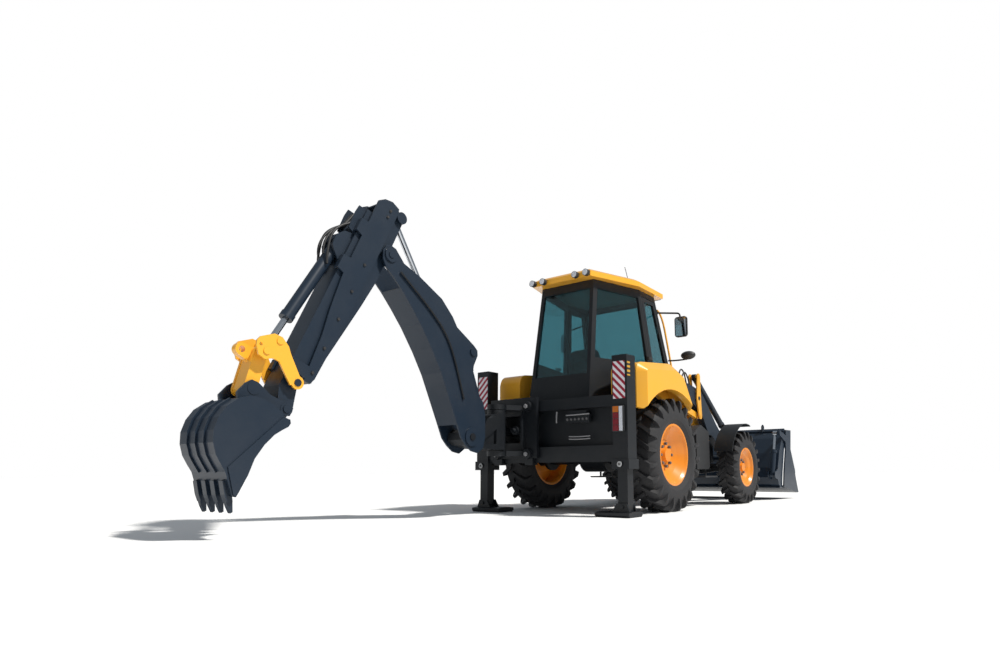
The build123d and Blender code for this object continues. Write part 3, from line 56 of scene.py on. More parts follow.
camera_data = bpy.data.cameras.new("camera")
camera_data.lens = LENS
camera_data.sensor_width = SENSOR
camera_data.shift_x = SHIFT_RIGHT
camera_data.shift_y = SHIFT_UP
camera_data.clip_end = FARTHEST
camera = bpy.data.objects.new("camera", camera_data)
bpy.context.scene.collection.objects.link(camera)
camera.location = VIEWPOINT
aim = Matrix.Rotation(math.radians(HEADING - 90), 3, "Z")
aim = aim @ Matrix.Rotation(math.radians(90 + TILT), 3, "X") @ Matrix.Rotation(math.radians(LEAN), 3, "Z")
camera.rotation_euler = aim.to_euler()
bpy.context.scene.camera = camera
bpy.context.scene.view_settings.view_transform = "Standard"

# ------------------------------------------------------------------ floor and light
# A matt white studio floor, far wider than the machine. One warm key light stands on the machine's
# right and a little to the front; a faint blue sky fills the rest. The background shows white.
FLOOR_WHITE = (0.90, 0.90, 0.90, 1)
FLOOR_HALF = 80
KEY_STRENGTH, SKY_STRENGTH = 4.0, 0.34
KEY_HEADING, KEY_HEIGHT, KEY_SPREAD = -72.0, 52.0, 4.0
KEY_WARMTH = (1.0, 0.97, 0.92)
SKY_BLUE = (0.86, 0.93, 1.0, 1)

floor_mesh = bmesh.new()
bmesh.ops.create_grid(floor_mesh, x_segments=2, y_segments=2, size=FLOOR_HALF)
floor_data = bpy.data.meshes.new("floor")
floor_mesh.to_mesh(floor_data)
floor = bpy.data.objects.new("floor", floor_data)
bpy.context.scene.collection.objects.link(floor)
floor_paint = bpy.data.materials.new("floor_paint")
floor_paint.use_nodes = True
matte = floor_paint.node_tree.nodes["Principled BSDF"]
matte.inputs["Base Color"].default_value = FLOOR_WHITE
matte.inputs["Roughness"].default_value = 0.95
matte.inputs["Specular IOR Level"].default_value = 0.0
floor_data.materials.append(floor_paint)

key_data = bpy.data.lights.new("key", "SUN")
key_data.energy = KEY_STRENGTH
key_data.angle = math.radians(KEY_SPREAD)
key_data.color = KEY_WARMTH
key = bpy.data.objects.new("key", key_data)
bpy.context.scene.collection.objects.link(key)
key.rotation_euler = (math.radians(90 - KEY_HEIGHT), 0, math.radians(KEY_HEADING + 90))

world = bpy.data.worlds.new("studio")
world.use_nodes = True
studio = world.node_tree
sky = studio.nodes["Background"]
sky.inputs["Color"].default_value = SKY_BLUE
sky.inputs["Strength"].default_value = SKY_STRENGTH
white = studio.nodes.new("ShaderNodeBackground")
white.inputs["Color"].default_value = (1, 1, 1, 1)
white.inputs["Strength"].default_value = 1.0
rays = studio.nodes.new("ShaderNodeLightPath")
seen = studio.nodes.new("ShaderNodeMath")
seen.operation = "MAXIMUM"
choice = studio.nodes.new("ShaderNodeMixShader")
studio.links.new(rays.outputs["Is Camera Ray"], seen.inputs[0])
studio.links.new(rays.outputs["Is Transmission Ray"], seen.inputs[1])
studio.links.new(seen.outputs["Value"], choice.inputs["Fac"])
studio.links.new(sky.outputs["Background"], choice.inputs[1])
studio.links.new(white.outputs["Background"], choice.inputs[2])
studio.links.new(choice.outputs["Shader"], studio.nodes["World Output"].inputs["Surface"])
bpy.context.scene.world = world


# ------------------------------------------------------------------ frame, axles and stabilisers
# Rails and tubes of welded plate, cast axles and the engine with its gearbox: the load-bearing
# steel, sprayed near black. The legs slide in the rear frame's tubes; the knuckles turn on pins.
def sprayed(name, colour, roughness, dust, coat):
    """Paint over steel: a colour that varies a little, dust in patches and a fine orange peel."""
    dust_colour = (0.36, 0.33, 0.29)
    paint = bpy.data.materials.new(name)
    paint.use_nodes = True
    tree = paint.node_tree
    shader = tree.nodes["Principled BSDF"]
    shader.inputs["Roughness"].default_value = roughness
    shader.inputs["Specular IOR Level"].default_value = 0.35
    shader.inputs["Coat Weight"].default_value = coat
    shader.inputs["Coat Roughness"].default_value = 0.12
    where = tree.nodes.new("ShaderNodeTexCoord")
    patches = tree.nodes.new("ShaderNodeTexNoise")
    patches.inputs["Scale"].default_value = 2.3
    patches.inputs["Detail"].default_value = 6
    patches.inputs["Roughness"].default_value = 0.62
    ramp = tree.nodes.new("ShaderNodeValToRGB")
    clean, dusty = ramp.color_ramp.elements
    clean.position = 0.42
    clean.color = (*colour, 1)
    dusty.position = 0.78
    dusty.color = (*[c + (d - c) * dust for c, d in zip(colour, dust_colour)], 1)
    peel = tree.nodes.new("ShaderNodeTexNoise")
    peel.inputs["Scale"].default_value = 210
    peel.inputs["Detail"].default_value = 2
    bump = tree.nodes.new("ShaderNodeBump")
    bump.inputs["Strength"].default_value = 0.05
    bump.inputs["Distance"].default_value = 0.002
    tree.links.new(where.outputs["Object"], patches.inputs["Vector"])
    tree.links.new(where.outputs["Object"], peel.inputs["Vector"])
    tree.links.new(patches.outputs["Fac"], ramp.inputs["Fac"])
    tree.links.new(ramp.outputs["Color"], shader.inputs["Base Color"])
    tree.links.new(peel.outputs["Fac"], bump.inputs["Height"])
    tree.links.new(bump.outputs["Normal"], shader.inputs["Normal"])
    return paint


def finish_in(material, *names):
    """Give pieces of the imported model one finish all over."""
    for name in names:
        body = nodes[name]
        body.data.materials.clear()
        body.data.materials.append(material)
        for polygon in body.data.polygons:
            polygon.material_index = 0


frame_paint = sprayed("frame_paint", (0.006, 0.008, 0.011), 0.48, 0.02, 0.05)
finish_in(frame_paint, "chassis_frame", "rear_frame", "stabiliser_leg_left", "stabiliser_leg_right")
finish_in(frame_paint, "rear_axle", "front_axle", "engine_block")
finish_in(frame_paint, "front_knuckle_left", "front_knuckle_right")


# ------------------------------------------------------------------ rims and tyres
# Pressed steel rims in orange paint. Each carries a traction tyre of vulcanised rubber: a bulged
# sidewall with two rings, and two staggered rows of slanted bars that wrap over the shoulder.
LUG_RISE, LUG_SLANT, LUG_STAGGER = 0.034, 0.62, 0.25
TYRE_STEPS, TYRE_CREASE = 88, 28
BEAD_SHARE, BEAD_RISE = 0.62, 0.02
# share of the half width and share of the wall height, from the bead to the tread
FLANK = (
    (0.80, -0.03),
    (0.92, 0.14),
    (0.95, 0.18),
    (0.95, 0.22),
    (0.975, 0.28),
    (0.98, 0.44),
    (0.92, 0.62),
    (0.82, 0.80),
    (0.68, 0.93),
    (0.35, 0.985),
)


def moulded(name, colour, roughness, grain, depth):
    """Rubber, plastic or cloth with a fine grain."""
    stuff = bpy.data.materials.new(name)
    stuff.use_nodes = True
    tree = stuff.node_tree
    shader = tree.nodes["Principled BSDF"]
    shader.inputs["Base Color"].default_value = (*colour, 1)
    shader.inputs["Roughness"].default_value = roughness
    where = tree.nodes.new("ShaderNodeTexCoord")
    skin = tree.nodes.new("ShaderNodeTexNoise")
    skin.inputs["Scale"].default_value = grain
    skin.inputs["Detail"].default_value = 5
    tone = tree.nodes.new("ShaderNodeValToRGB")
    dark, light = tone.color_ramp.elements
    dark.color = (*[0.75 * c for c in colour], 1)
    light.color = (*[1.5 * c + 0.006 for c in colour], 1)
    bump = tree.nodes.new("ShaderNodeBump")
    bump.inputs["Strength"].default_value = depth
    bump.inputs["Distance"].default_value = 0.004
    tree.links.new(where.outputs["Object"], skin.inputs["Vector"])
    tree.links.new(skin.outputs["Fac"], tone.inputs["Fac"])
    tree.links.new(tone.outputs["Color"], shader.inputs["Base Color"])
    tree.links.new(skin.outputs["Fac"], bump.inputs["Height"])
    tree.links.new(bump.outputs["Normal"], shader.inputs["Normal"])
    return stuff


def turned(section, steps):
    """A closed ring turned round the wheel's axis from (offset, radius) points."""
    shape = bmesh.new()
    rings = []
    for offset, radius in section:
        ring = []
        for k in range(steps):
            angle = 2 * math.pi * k / steps
            ring.append(shape.verts.new((radius * math.cos(angle), offset, radius * math.sin(angle))))
        rings.append(ring)
    for near, far in zip(rings, rings[1:] + rings[:1]):
        for k in range(steps):
            after = (k + 1) % steps
            shape.faces.new((near[k], near[after], far[after], far[k]))
    return shape


def lug(shape, half, radius, tread, wall, turn, side, pitch):
    """One bar: it starts thin at the middle, crosses the shoulder and ends on the sidewall."""
    # share of the half width, root radius, crest radius, how far the bar leads, half its length
    stations = (
        (0.02, tread - 0.03, radius - 0.002, 1.0, 0.15),
        (0.55, tread - 0.04, radius, 0.42, 0.14),
        (0.88, tread - 0.14 * wall, radius - 0.008, 0.06, 0.145),
        (0.99, tread - 0.26 * wall, radius - 0.040, 0.0, 0.14),
        (1.03, tread - 0.42 * wall, tread - 0.20 * wall, 0.0, 0.12),
        (0.985, tread - 0.52 * wall, tread - 0.46 * wall, 0.0, 0.10),
    )
    shoulder = 0.8
    # how far the bar spreads at its foot and top, and its share of the width beyond the shoulder
    foot, top = (1.15, 0.80), (0.92, 1.0)
    loops = []
    for share, root, crest, lead, length in stations:
        middle = turn - lead * LUG_SLANT * pitch / radius
        loop = []
        for level, (spread, pull) in ((root, foot), (crest, top)):
            for way in (-1, 1):
                angle = middle + way * spread * length * pitch / radius
                y = side * half * share * (pull if share > shoulder else 1.0)
                loop.append(shape.verts.new((level * math.cos(angle), y, level * math.sin(angle))))
        loops.append((loop[0], loop[2], loop[3], loop[1]))
    for near, far in zip(loops, loops[1:]):
        for k in range(4):
            shape.faces.new((near[k], far[k], far[(k + 1) % 4], near[(k + 1) % 4]))
    shape.faces.new(loops[0])
    shape.faces.new(loops[-1][::-1])


def fitted(name, shape, finish, body, crease=32, place=None):
    """Make a mesh of the shape, smooth but for its creases, and fit it to the body that carries it."""
    bmesh.ops.recalc_face_normals(shape, faces=shape.faces)
    mesh = bpy.data.meshes.new(name)
    shape.to_mesh(mesh)
    shape.free()
    mesh.shade_smooth()
    mesh.set_sharp_from_angle(angle=math.radians(crease))
    mesh.materials.append(finish)
    made = bpy.data.objects.new(name, mesh)
    if place is not None:
        made.matrix_world = place
    bpy.context.scene.collection.objects.link(made)
    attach(made, body)
    return made


rim_paint = sprayed("rim_paint", (0.78, 0.25, 0.012), 0.34, 0.06, 0.3)
finish_in(rim_paint, "rear_rim_left", "rear_rim_right", "front_rim_left", "front_rim_right")
tyre_rubber = moulded("tyre_rubber", (0.013, 0.013, 0.015), 0.72, 60, 0.25)

for axle, bars, rim_radius in (("rear", 22, 0.39), ("front", 21, 0.30)):
    for hand in ("left", "right"):
        low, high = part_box(f"{axle}_tyre_{hand}")
        hub = (low + high) / 2
        radius = (high.z - low.z) / 2
        half = (high.y - low.y) / 2
        tread = radius - LUG_RISE
        wall = tread - rim_radius
        outer = [(-share * half, rim_radius + rise * wall) for share, rise in FLANK]
        inner = [(side * BEAD_SHARE * half, rim_radius + BEAD_RISE) for side in (1, -1)]
        cover = turned([*outer, *[(-y, r) for y, r in reversed(outer)], *inner], TYRE_STEPS)
        pitch = 2 * math.pi * radius / bars
        for side in (-1, 1):
            for n in range(bars):
                turn = 2 * math.pi * (n + LUG_STAGGER * side) / bars
                lug(cover, half, radius, tread, wall, turn, side, pitch)
        body = f"{axle}_wheel_{hand}"
        place = Matrix.Translation(hub)
        made = fitted(f"{axle}_tyre_cover_{hand}", cover, tyre_rubber, body, TYRE_CREASE, place)
        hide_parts(f"{axle}_tyre_{hand}")


# ------------------------------------------------------------------ wheel nuts
# Forged six-sided nuts of plain steel. Eight of them hold each rim's disc to the studs of its hub,
# on a larger circle at the rear.
NUTS = 8
NUT_ACROSS, NUT_HEIGHT = 0.040, 0.034
DISC_OUT = 0.026


def ringed(shape, centre, axis, levels, sides, turn=0.0):
    """A closed many-sided solid standing on an axis, from the (rise, radius) of each of its rings."""
    turned_to = Vector((0, 0, 1)).rotation_difference(Vector(axis)).to_matrix()
    rings = []
    for rise, radius in levels:
        ring = []
        for k in range(sides):
            angle = turn + 2 * math.pi * k / sides
            at = Vector((radius * math.cos(angle), radius * math.sin(angle), rise))
            ring.append(shape.verts.new(Vector(centre) + turned_to @ at))
        rings.append(ring)
    for near, far in zip(rings, rings[1:]):
        for k in range(sides):
            after = (k + 1) % sides
            shape.faces.new((near[k], near[after], far[after], far[k]))
    shape.faces.new(rings[-1])
    shape.faces.new(rings[0][::-1])


def bolt_head(shape, centre, axis, across, height, turn=0.0):
    """A six-sided bolt or nut head with a chamfered crown."""
    reach = across / 2
    levels = ((0.0, reach), (0.8 * height, reach), (height, 0.82 * reach))
    ringed(shape, centre, axis, levels, 6, turn)


dull_steel = sprayed("dull_steel", (0.10, 0.10, 0.105), 0.42, 0.15, 0.0)
for axle, stud_circle in (("rear", 0.140), ("front", 0.108)):
    for hand, out in (("left", 1), ("right", -1)):
        low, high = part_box(f"{axle}_rim_{hand}")
        hub = (low + high) / 2
        cluster = bmesh.new()
        for n in range(NUTS):
            angle = 2 * math.pi * n / NUTS
            x = hub.x + stud_circle * math.cos(angle)
            z = hub.z + stud_circle * math.sin(angle)
            bolt_head(cluster, (x, hub.y + out * DISC_OUT, z), (0, out, 0), NUT_ACROSS, NUT_HEIGHT, angle)
        fitted(f"{axle}_wheel_nuts_{hand}", cluster, dull_steel, f"{axle}_wheel_{hand}")


# ------------------------------------------------------------------ hood and headlamps
# A pressed steel engine hood in yellow that tilts on its hinge. A black moulded grille and two
# black lamp housings are let into its nose, and round polycarbonate lenses close the housings.
HEADLAMP_Y, HEADLAMP_HEIGHT, HEADLAMP_RADIUS = 0.27, 1.31, 0.046
HEADLAMP_THICK = 0.006
LENS_SINK, LENS_BEVEL, LENS_SIDES = 0.001, 0.003, 24


def drum(shape, centre, axis, radius, length, bevel):
    """A round lens or cap, bevelled round its outer edge."""
    levels = ((0.0, radius), (length - bevel, radius), (length, radius - bevel))
    ringed(shape, centre, axis, levels, LENS_SIDES)


yellow_paint = sprayed("yellow_paint", (0.91, 0.44, 0.035), 0.3, 0.05, 0.5)
black_plastic = moulded("black_plastic", (0.018, 0.019, 0.021), 0.52, 260, 0.12)
clear_lens = moulded("clear_lens", (0.55, 0.57, 0.62), 0.16, 90, 0.2)
finish_in(yellow_paint, "hood")
finish_in(black_plastic, "front_grille", "headlamps")
nose_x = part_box("headlamps")[1].x
lenses = bmesh.new()
for y in (-HEADLAMP_Y, HEADLAMP_Y):
    at = (nose_x - LENS_SINK, y, HEADLAMP_HEIGHT)
    drum(lenses, at, (1, 0, 0), HEADLAMP_RADIUS, HEADLAMP_THICK, LENS_BEVEL)
fitted("headlamp_lenses", lenses, clear_lens, "hood_body")

# ------------------------------------------------------------------ side tanks
# Rotationally moulded fuel and oil tanks in black plastic, with the step below them, strapped to
# the frame on both sides between the wheels.
finish_in(black_plastic, "side_tanks")

# ------------------------------------------------------------------ cab shell, doors and glass
# A welded frame of black steel tube with two hinged doors, a yellow roof and yellow fenders bolted
# on. Tinted safety glass is bonded into its openings.
GLASS_TINT = (0.17, 0.36, 0.40, 1)

finish_in(frame_paint, "cab_frame", "door_left", "door_right")
finish_in(yellow_paint, "cab_roof", "rear_fenders")
cab_tint = bpy.data.materials.new("cab_tint")
cab_tint.use_nodes = True
pane = cab_tint.node_tree.nodes["Principled BSDF"]
pane.inputs["Base Color"].default_value = GLASS_TINT
pane.inputs["Roughness"].default_value = 0.02
pane.inputs["IOR"].default_value = 1.45
pane.inputs["Transmission Weight"].default_value = 1.0
finish_in(cab_tint, "cab_glass", "door_glass_left", "door_glass_right")


# ------------------------------------------------------------------ cab lining and controls
# A pale pressed fibre headliner clipped under the roof, and a black moulded steering column with
# its lever consoles on the cab floor.
LINER_HEIGHT, LINER_THICKNESS = 2.868, 0.02


def panel(shape, corners, thickness, up=(0, 0, 1)):
    """A flat panel from its corners, thickened along one direction."""
    rise = Vector(up) * thickness
    low_ring = [shape.verts.new(Vector(c)) for c in corners]
    high_ring = [shape.verts.new(Vector(c) + rise) for c in corners]
    shape.faces.new(low_ring[::-1])
    shape.faces.new(high_ring)
    for k in range(len(corners)):
        after = (k + 1) % len(corners)
        shape.faces.new((low_ring[k], low_ring[after], high_ring[after], high_ring[k]))


finish_in(black_plastic, "steering_column")
lining = moulded("lining", (0.36, 0.355, 0.33), 0.9, 500, 0.3)
# the right-hand corners, from the back to the front
right_edge = [(-0.50, -0.34), (0.20, -0.54), (0.64, -0.51)]
left_edge = [(x, -y) for x, y in reversed(right_edge)]
liner = bmesh.new()
panel(liner, [(x, y, LINER_HEIGHT) for x, y in right_edge + left_edge], LINER_THICKNESS)
fitted("headliner", liner, lining, "machine")


# ------------------------------------------------------------------ driver's seat
# A sprung seat: moulded foam in woven cloth, crowned and sewn in channels, with raised bolsters.
# Cushion and backrest are separate pads, bolted to one shell on a black pedestal.
CUSHION_SIZE, CUSHION_RISE, CUSHION_CHANNELS = (0.48, 0.50, 0.150), 0.262, (-0.45, 0.0, 0.45)
BACK_SIZE, BACK_RISE, BACK_CHANNELS = (0.56, 0.46, 0.120), 0.615, (-0.5, 0.0, 0.5)
CUSHION_FORWARD, BACK_FORWARD = 0.34, 0.105
BOLSTER, FOAM_FILL = 0.9, 0.7
BACKREST_LEAN = -98
FOOT_RISE, FOOT_SIZE = 0.085, (0.34, 0.34, 0.16)
SHELL_RISE, SHELL_SIZE = 0.175, (0.44, 0.44, 0.03)
SHELL_BEVEL = 0.012


def pad(name, size, place, bolster, channels):
    """A crowned pad: its sides pull in between the corners, and sewn channels run across it."""
    pull, crown_rise = 0.05, 0.18
    channel_depth, channel_width = 0.20, 0.035
    piping_depth, piping_width = 0.16, 0.03
    middle_share, piping_share = 0.62, 0.64
    squareness, bolster_curve = 5, 1.4
    shape = bmesh.new()
    bmesh.ops.create_cube(shape, size=2)
    bmesh.ops.subdivide_edges(shape, edges=shape.edges, cuts=27, use_grid_fill=True)
    for v in shape.verts:
        x, y, z = v.co
        x, y = x * (1 - pull * y * y * z * z), y * (1 - pull * x * x * z * z)
        corner = (abs(x) ** squareness + abs(y) ** squareness + abs(z) ** squareness) ** (1 / squareness)
        x, y, z = x / corner, y / corner, z / corner
        crown = 1 - crown_rise + crown_rise * (1 - x * x) * (1 - y * y)
        if z > 0:
            crown += bolster * max(0.0, abs(y) - middle_share) ** bolster_curve
            for seam in channels:
                dip = math.exp(-(((x - seam) / channel_width) ** 2))
                crown -= channel_depth * dip * (abs(y) < middle_share)
            crown -= piping_depth * math.exp(-(((abs(y) - piping_share) / piping_width) ** 2))
        v.co = (x * size[0] / 2, y * size[1] / 2, z * crown * size[2] / 2)
    made = fitted(name, shape, seat_cloth, "machine", 180, place)


def stretched(corners, centre, size):
    """Stretch a unit form to its size and move it to its centre."""
    for v in corners:
        v.co = Vector(centre) + Vector([share * length for share, length in zip(v.co, size)])


def slab(shape, centre, size):
    """A plain block, added to a shape."""
    stretched(bmesh.ops.create_cube(shape, size=1)["verts"], centre, size)


seat_cloth = moulded("seat_cloth", (0.030, 0.032, 0.036), 0.92, 900, 0.5)
seat_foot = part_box("seat")[0]
seat_x = seat_foot.x + CUSHION_FORWARD
cushion_place = Matrix.Translation((seat_x, 0, seat_foot.z + CUSHION_RISE))
pad("seat_cushion", CUSHION_SIZE, cushion_place, BOLSTER, CUSHION_CHANNELS)
back_place = Matrix.Translation((seat_foot.x + BACK_FORWARD, 0, seat_foot.z + BACK_RISE))
back_place = back_place @ Matrix.Rotation(math.radians(BACKREST_LEAN), 4, "Y")
back_place = back_place @ Matrix.Rotation(math.pi, 4, "Z")
pad("seat_back", BACK_SIZE, back_place, BOLSTER, BACK_CHANNELS)
shell = bmesh.new()
slab(shell, (seat_x, 0, seat_foot.z + FOOT_RISE), FOOT_SIZE)
slab(shell, (seat_x, 0, seat_foot.z + SHELL_RISE), SHELL_SIZE)
bmesh.ops.bevel(shell, geom=shell.edges, offset=SHELL_BEVEL, segments=2, affect="EDGES")
pedestal = fitted("seat_pedestal", shell, black_plastic, "machine")
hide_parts("seat")


# ------------------------------------------------------------------ rails, latches and antenna
# Bent yellow tube to hold on to beside each door, a black moulded latch on each door, and a whip
# antenna of sprung steel in a black sleeve, screwed to the roof.
WHIP_RADIUS, RAIL_RADIUS = 0.004, 0.014
LATCH_X, LATCH_Y, LATCH_HEIGHT = 0.236, 0.742, 1.956
LATCH_SIZE, LATCH_BEVEL = (0.11, 0.034, 0.045), 0.008


def tube(name, route, radius, finish, body):
    """A pipe or clamped hose along a smooth route of given points."""
    line = bpy.data.curves.new(name, "CURVE")
    line.dimensions = "3D"
    line.bevel_depth = radius
    line.bevel_resolution = 3
    line.use_fill_caps = True
    line.resolution_u = 12
    spline = line.splines.new("NURBS")
    spline.points.add(len(route) - 1)
    for point, at in zip(spline.points, route):
        point.co = (*at, 1)
    spline.order_u = 3
    spline.use_endpoint_u = True
    line.materials.append(finish)
    made = bpy.data.objects.new(name, line)
    bpy.context.scene.collection.objects.link(made)
    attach(made, body)


whip = [(0.14, -0.50, 3.00), (0.11, -0.50, 3.09), (0.05, -0.50, 3.19)]
tube("antenna", whip, WHIP_RADIUS, black_plastic, "machine")
for hand, side in (("left", 1), ("right", -1)):
    rail = [
        (0.80, side * 0.57, 2.74),
        (0.88, side * 0.60, 2.70),
        (0.98, side * 0.64, 2.20),
        (1.09, side * 0.66, 1.74),
        (1.15, side * 0.66, 1.52),
    ]
    tube(f"grab_rail_{hand}", rail, RAIL_RADIUS, yellow_paint, "machine")
    latch = bmesh.new()
    slab(latch, (LATCH_X, side * LATCH_Y, LATCH_HEIGHT), LATCH_SIZE)
    bmesh.ops.bevel(latch, geom=latch.edges, offset=LATCH_BEVEL, segments=2, affect="EDGES")
    fitted(f"door_latch_{hand}", latch, black_plastic, f"door_{hand}_body")


# ------------------------------------------------------------------ mirrors and side lamps
# Silvered glass in black moulded shells on bent arms, and a round black lamp on a stalk in front of
# each door.
MIRROR_X, MIRROR_Y, MIRROR_HALF, MIRROR_THICK = 0.726, 0.96, 0.075, 0.003
MIRROR_FOOT, MIRROR_HEAD = 2.315, 2.565
LAMP_X, LAMP_Y, LAMP_HEIGHT = 0.958, 0.95, 2.08
LAMP_RADII = (0.075, 0.105, 0.058)
STALK_RADIUS = 0.011


def polished(name, colour, roughness):
    """Bare bright metal."""
    metal = bpy.data.materials.new(name)
    metal.use_nodes = True
    shader = metal.node_tree.nodes["Principled BSDF"]
    shader.inputs["Base Color"].default_value = (*colour, 1)
    shader.inputs["Metallic"].default_value = 1.0
    shader.inputs["Roughness"].default_value = roughness
    return metal


def upright(shape, x, near, far, foot, head, thickness):
    """A flat plate standing across the machine, thickened forward, or backward if negative."""
    corners = [(x, near, foot), (x, far, foot), (x, far, head), (x, near, head)]
    panel(shape, corners, thickness, (1, 0, 0))


finish_in(black_plastic, "mirrors")
mirror_glass = polished("mirror_glass", (0.72, 0.75, 0.78), 0.03)
for hand, side in (("left", 1), ("right", -1)):
    glass = bmesh.new()
    near, far = side * MIRROR_Y - MIRROR_HALF, side * MIRROR_Y + MIRROR_HALF
    upright(glass, MIRROR_X, near, far, MIRROR_FOOT, MIRROR_HEAD, -MIRROR_THICK)
    fitted(f"mirror_glass_{hand}", glass, mirror_glass, "machine")
    globe = bmesh.new()
    bmesh.ops.create_uvsphere(globe, u_segments=28, v_segments=16, radius=1)
    stretched(globe.verts, (LAMP_X, side * LAMP_Y, LAMP_HEIGHT), LAMP_RADII)
    fitted(f"stalk_lamp_{hand}", globe, black_plastic, "machine")
    stalk = [(0.93, side * 0.66, 2.03), (0.95, side * 0.78, 2.02), (0.96, side * 0.93, 2.03)]
    tube(f"stalk_{hand}", stalk, STALK_RADIUS, black_plastic, "machine")

# ------------------------------------------------------------------ work lamps and tail lamps
# Black moulded housings with polycarbonate lenses: round work lamps at the back of the roof, flat
# ones in front, and upright tail lamps bolted to the stabiliser tubes.
LAMP_BACK, REAR_LAMP_HEIGHT, REAR_LENS_RADIUS, REAR_LENS_THICK = -0.778, 2.936, 0.036, 0.007
LAMP_FRONT, FRONT_LAMP_FOOT, FRONT_LAMP_HEAD = 0.894, 2.914, 2.958
FRONT_LAMP_HALF, FRONT_LENS_THICK = 0.06, 0.004
TAIL_LAMP_Y, TAIL_LENS_THICK = 1.02, 0.005

finish_in(black_plastic, "lamps")
lenses = bmesh.new()
for y in (-0.417, -0.252, 0.252, 0.417):
    at = (LAMP_BACK + LENS_SINK, y, REAR_LAMP_HEIGHT)
    drum(lenses, at, (-1, 0, 0), REAR_LENS_RADIUS, REAR_LENS_THICK, LENS_BEVEL)
fitted("rear_work_lenses", lenses, clear_lens, "machine")
lenses = bmesh.new()
for y in (-0.52, -0.33, 0.33, 0.52):
    near, far = y - FRONT_LAMP_HALF, y + FRONT_LAMP_HALF
    upright(lenses, LAMP_FRONT, near, far, FRONT_LAMP_FOOT, FRONT_LAMP_HEAD, FRONT_LENS_THICK)
fitted("front_work_lenses", lenses, clear_lens, "machine")
red_lens = moulded("red_lens", (0.16, 0.008, 0.014), 0.18, 120, 0.2)
amber_lens = moulded("amber_lens", (0.42, 0.11, 0.01), 0.18, 120, 0.2)
tail_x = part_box("lamps")[0].x
# inner and outer edge of each lens from the lamp's middle, and the foot and head of its cells
for finish, name, near, far, cells in (
    (red_lens, "tail_lens", -0.060, 0.014, ((0.945, 1.008), (1.014, 1.077), (1.083, 1.146))),
    (amber_lens, "turn_lens", -0.060, 0.014, ((1.152, 1.218),)),
    (clear_lens, "reverse_lens", 0.020, 0.062, ((0.945, 1.218),)),
):
    lenses = bmesh.new()
    for side in (-1, 1):
        inner, outer = side * (TAIL_LAMP_Y + near), side * (TAIL_LAMP_Y + far)
        for foot, head in cells:
            upright(lenses, tail_x, inner, outer, foot, head, -TAIL_LENS_THICK)
    fitted(name, lenses, finish, "machine")


# ------------------------------------------------------------------ hazard boards and tube caps
# Reflective sheet striped at a slant on flat boards, riveted to the stabiliser tubes and bare of
# any wording; a hatched strip on each tube's side. Zinc-plated caps and bolts sit on its collar.
TUBE_Y = 1.032
BOARD_X, BOARD_Y, BOARD_HALF, BOARD_THICK = -1.032, 1.026, 0.077, 0.004
BOARD_FOOT, BOARD_HEAD, STRIPE_PITCH = 1.307, 1.728, 0.085
HATCH_BACK, HATCH_FRONT, HATCH_Y = -1.020, -0.957, 1.127
HATCH_FOOT, HATCH_HEAD, HATCH_PITCH, HATCH_THICK = 1.56, 1.72, 0.05, 0.002
RED, SILVER = (0.30, 0.012, 0.035), (0.72, 0.70, 0.74)
AMBER, BLACK = (0.55, 0.30, 0.03), (0.02, 0.02, 0.02)
CAP_X, CAP_BOLT_X, CAP_HEIGHT = -1.0625, -1.066, 0.58
CAP_RADIUS, CAP_THICK, CAP_BEVEL = 0.031, 0.004, 0.002
CAP_BOLT_ACROSS, CAP_BOLT_THICK = 0.030, 0.012


def striped(name, one, two, pitch, lean):
    """Two colours in even slanted stripes."""
    board = bpy.data.materials.new(name)
    board.use_nodes = True
    tree = board.node_tree
    shader = tree.nodes["Principled BSDF"]
    shader.inputs["Roughness"].default_value = 0.34
    where = tree.nodes.new("ShaderNodeTexCoord")
    parts = tree.nodes.new("ShaderNodeSeparateXYZ")
    slant = tree.nodes.new("ShaderNodeMath")
    slant.operation = "MULTIPLY_ADD"
    slant.inputs[1].default_value = lean
    count = tree.nodes.new("ShaderNodeMath")
    count.operation = "DIVIDE"
    count.inputs[1].default_value = pitch
    share = tree.nodes.new("ShaderNodeMath")
    share.operation = "FRACT"
    half = tree.nodes.new("ShaderNodeMath")
    half.operation = "GREATER_THAN"
    half.inputs[1].default_value = 0.5
    pick = tree.nodes.new("ShaderNodeMix")
    pick.data_type = "RGBA"
    pick.inputs[6].default_value = (*one, 1)
    pick.inputs[7].default_value = (*two, 1)
    tree.links.new(where.outputs["Object"], parts.inputs["Vector"])
    tree.links.new(parts.outputs["Y"], slant.inputs[0])
    tree.links.new(parts.outputs["Z"], slant.inputs[2])
    tree.links.new(slant.outputs["Value"], count.inputs[0])
    tree.links.new(count.outputs["Value"], share.inputs[0])
    tree.links.new(share.outputs["Value"], half.inputs[0])
    tree.links.new(half.outputs["Value"], pick.inputs["Factor"])
    tree.links.new(pick.outputs[2], shader.inputs["Base Color"])
    return board


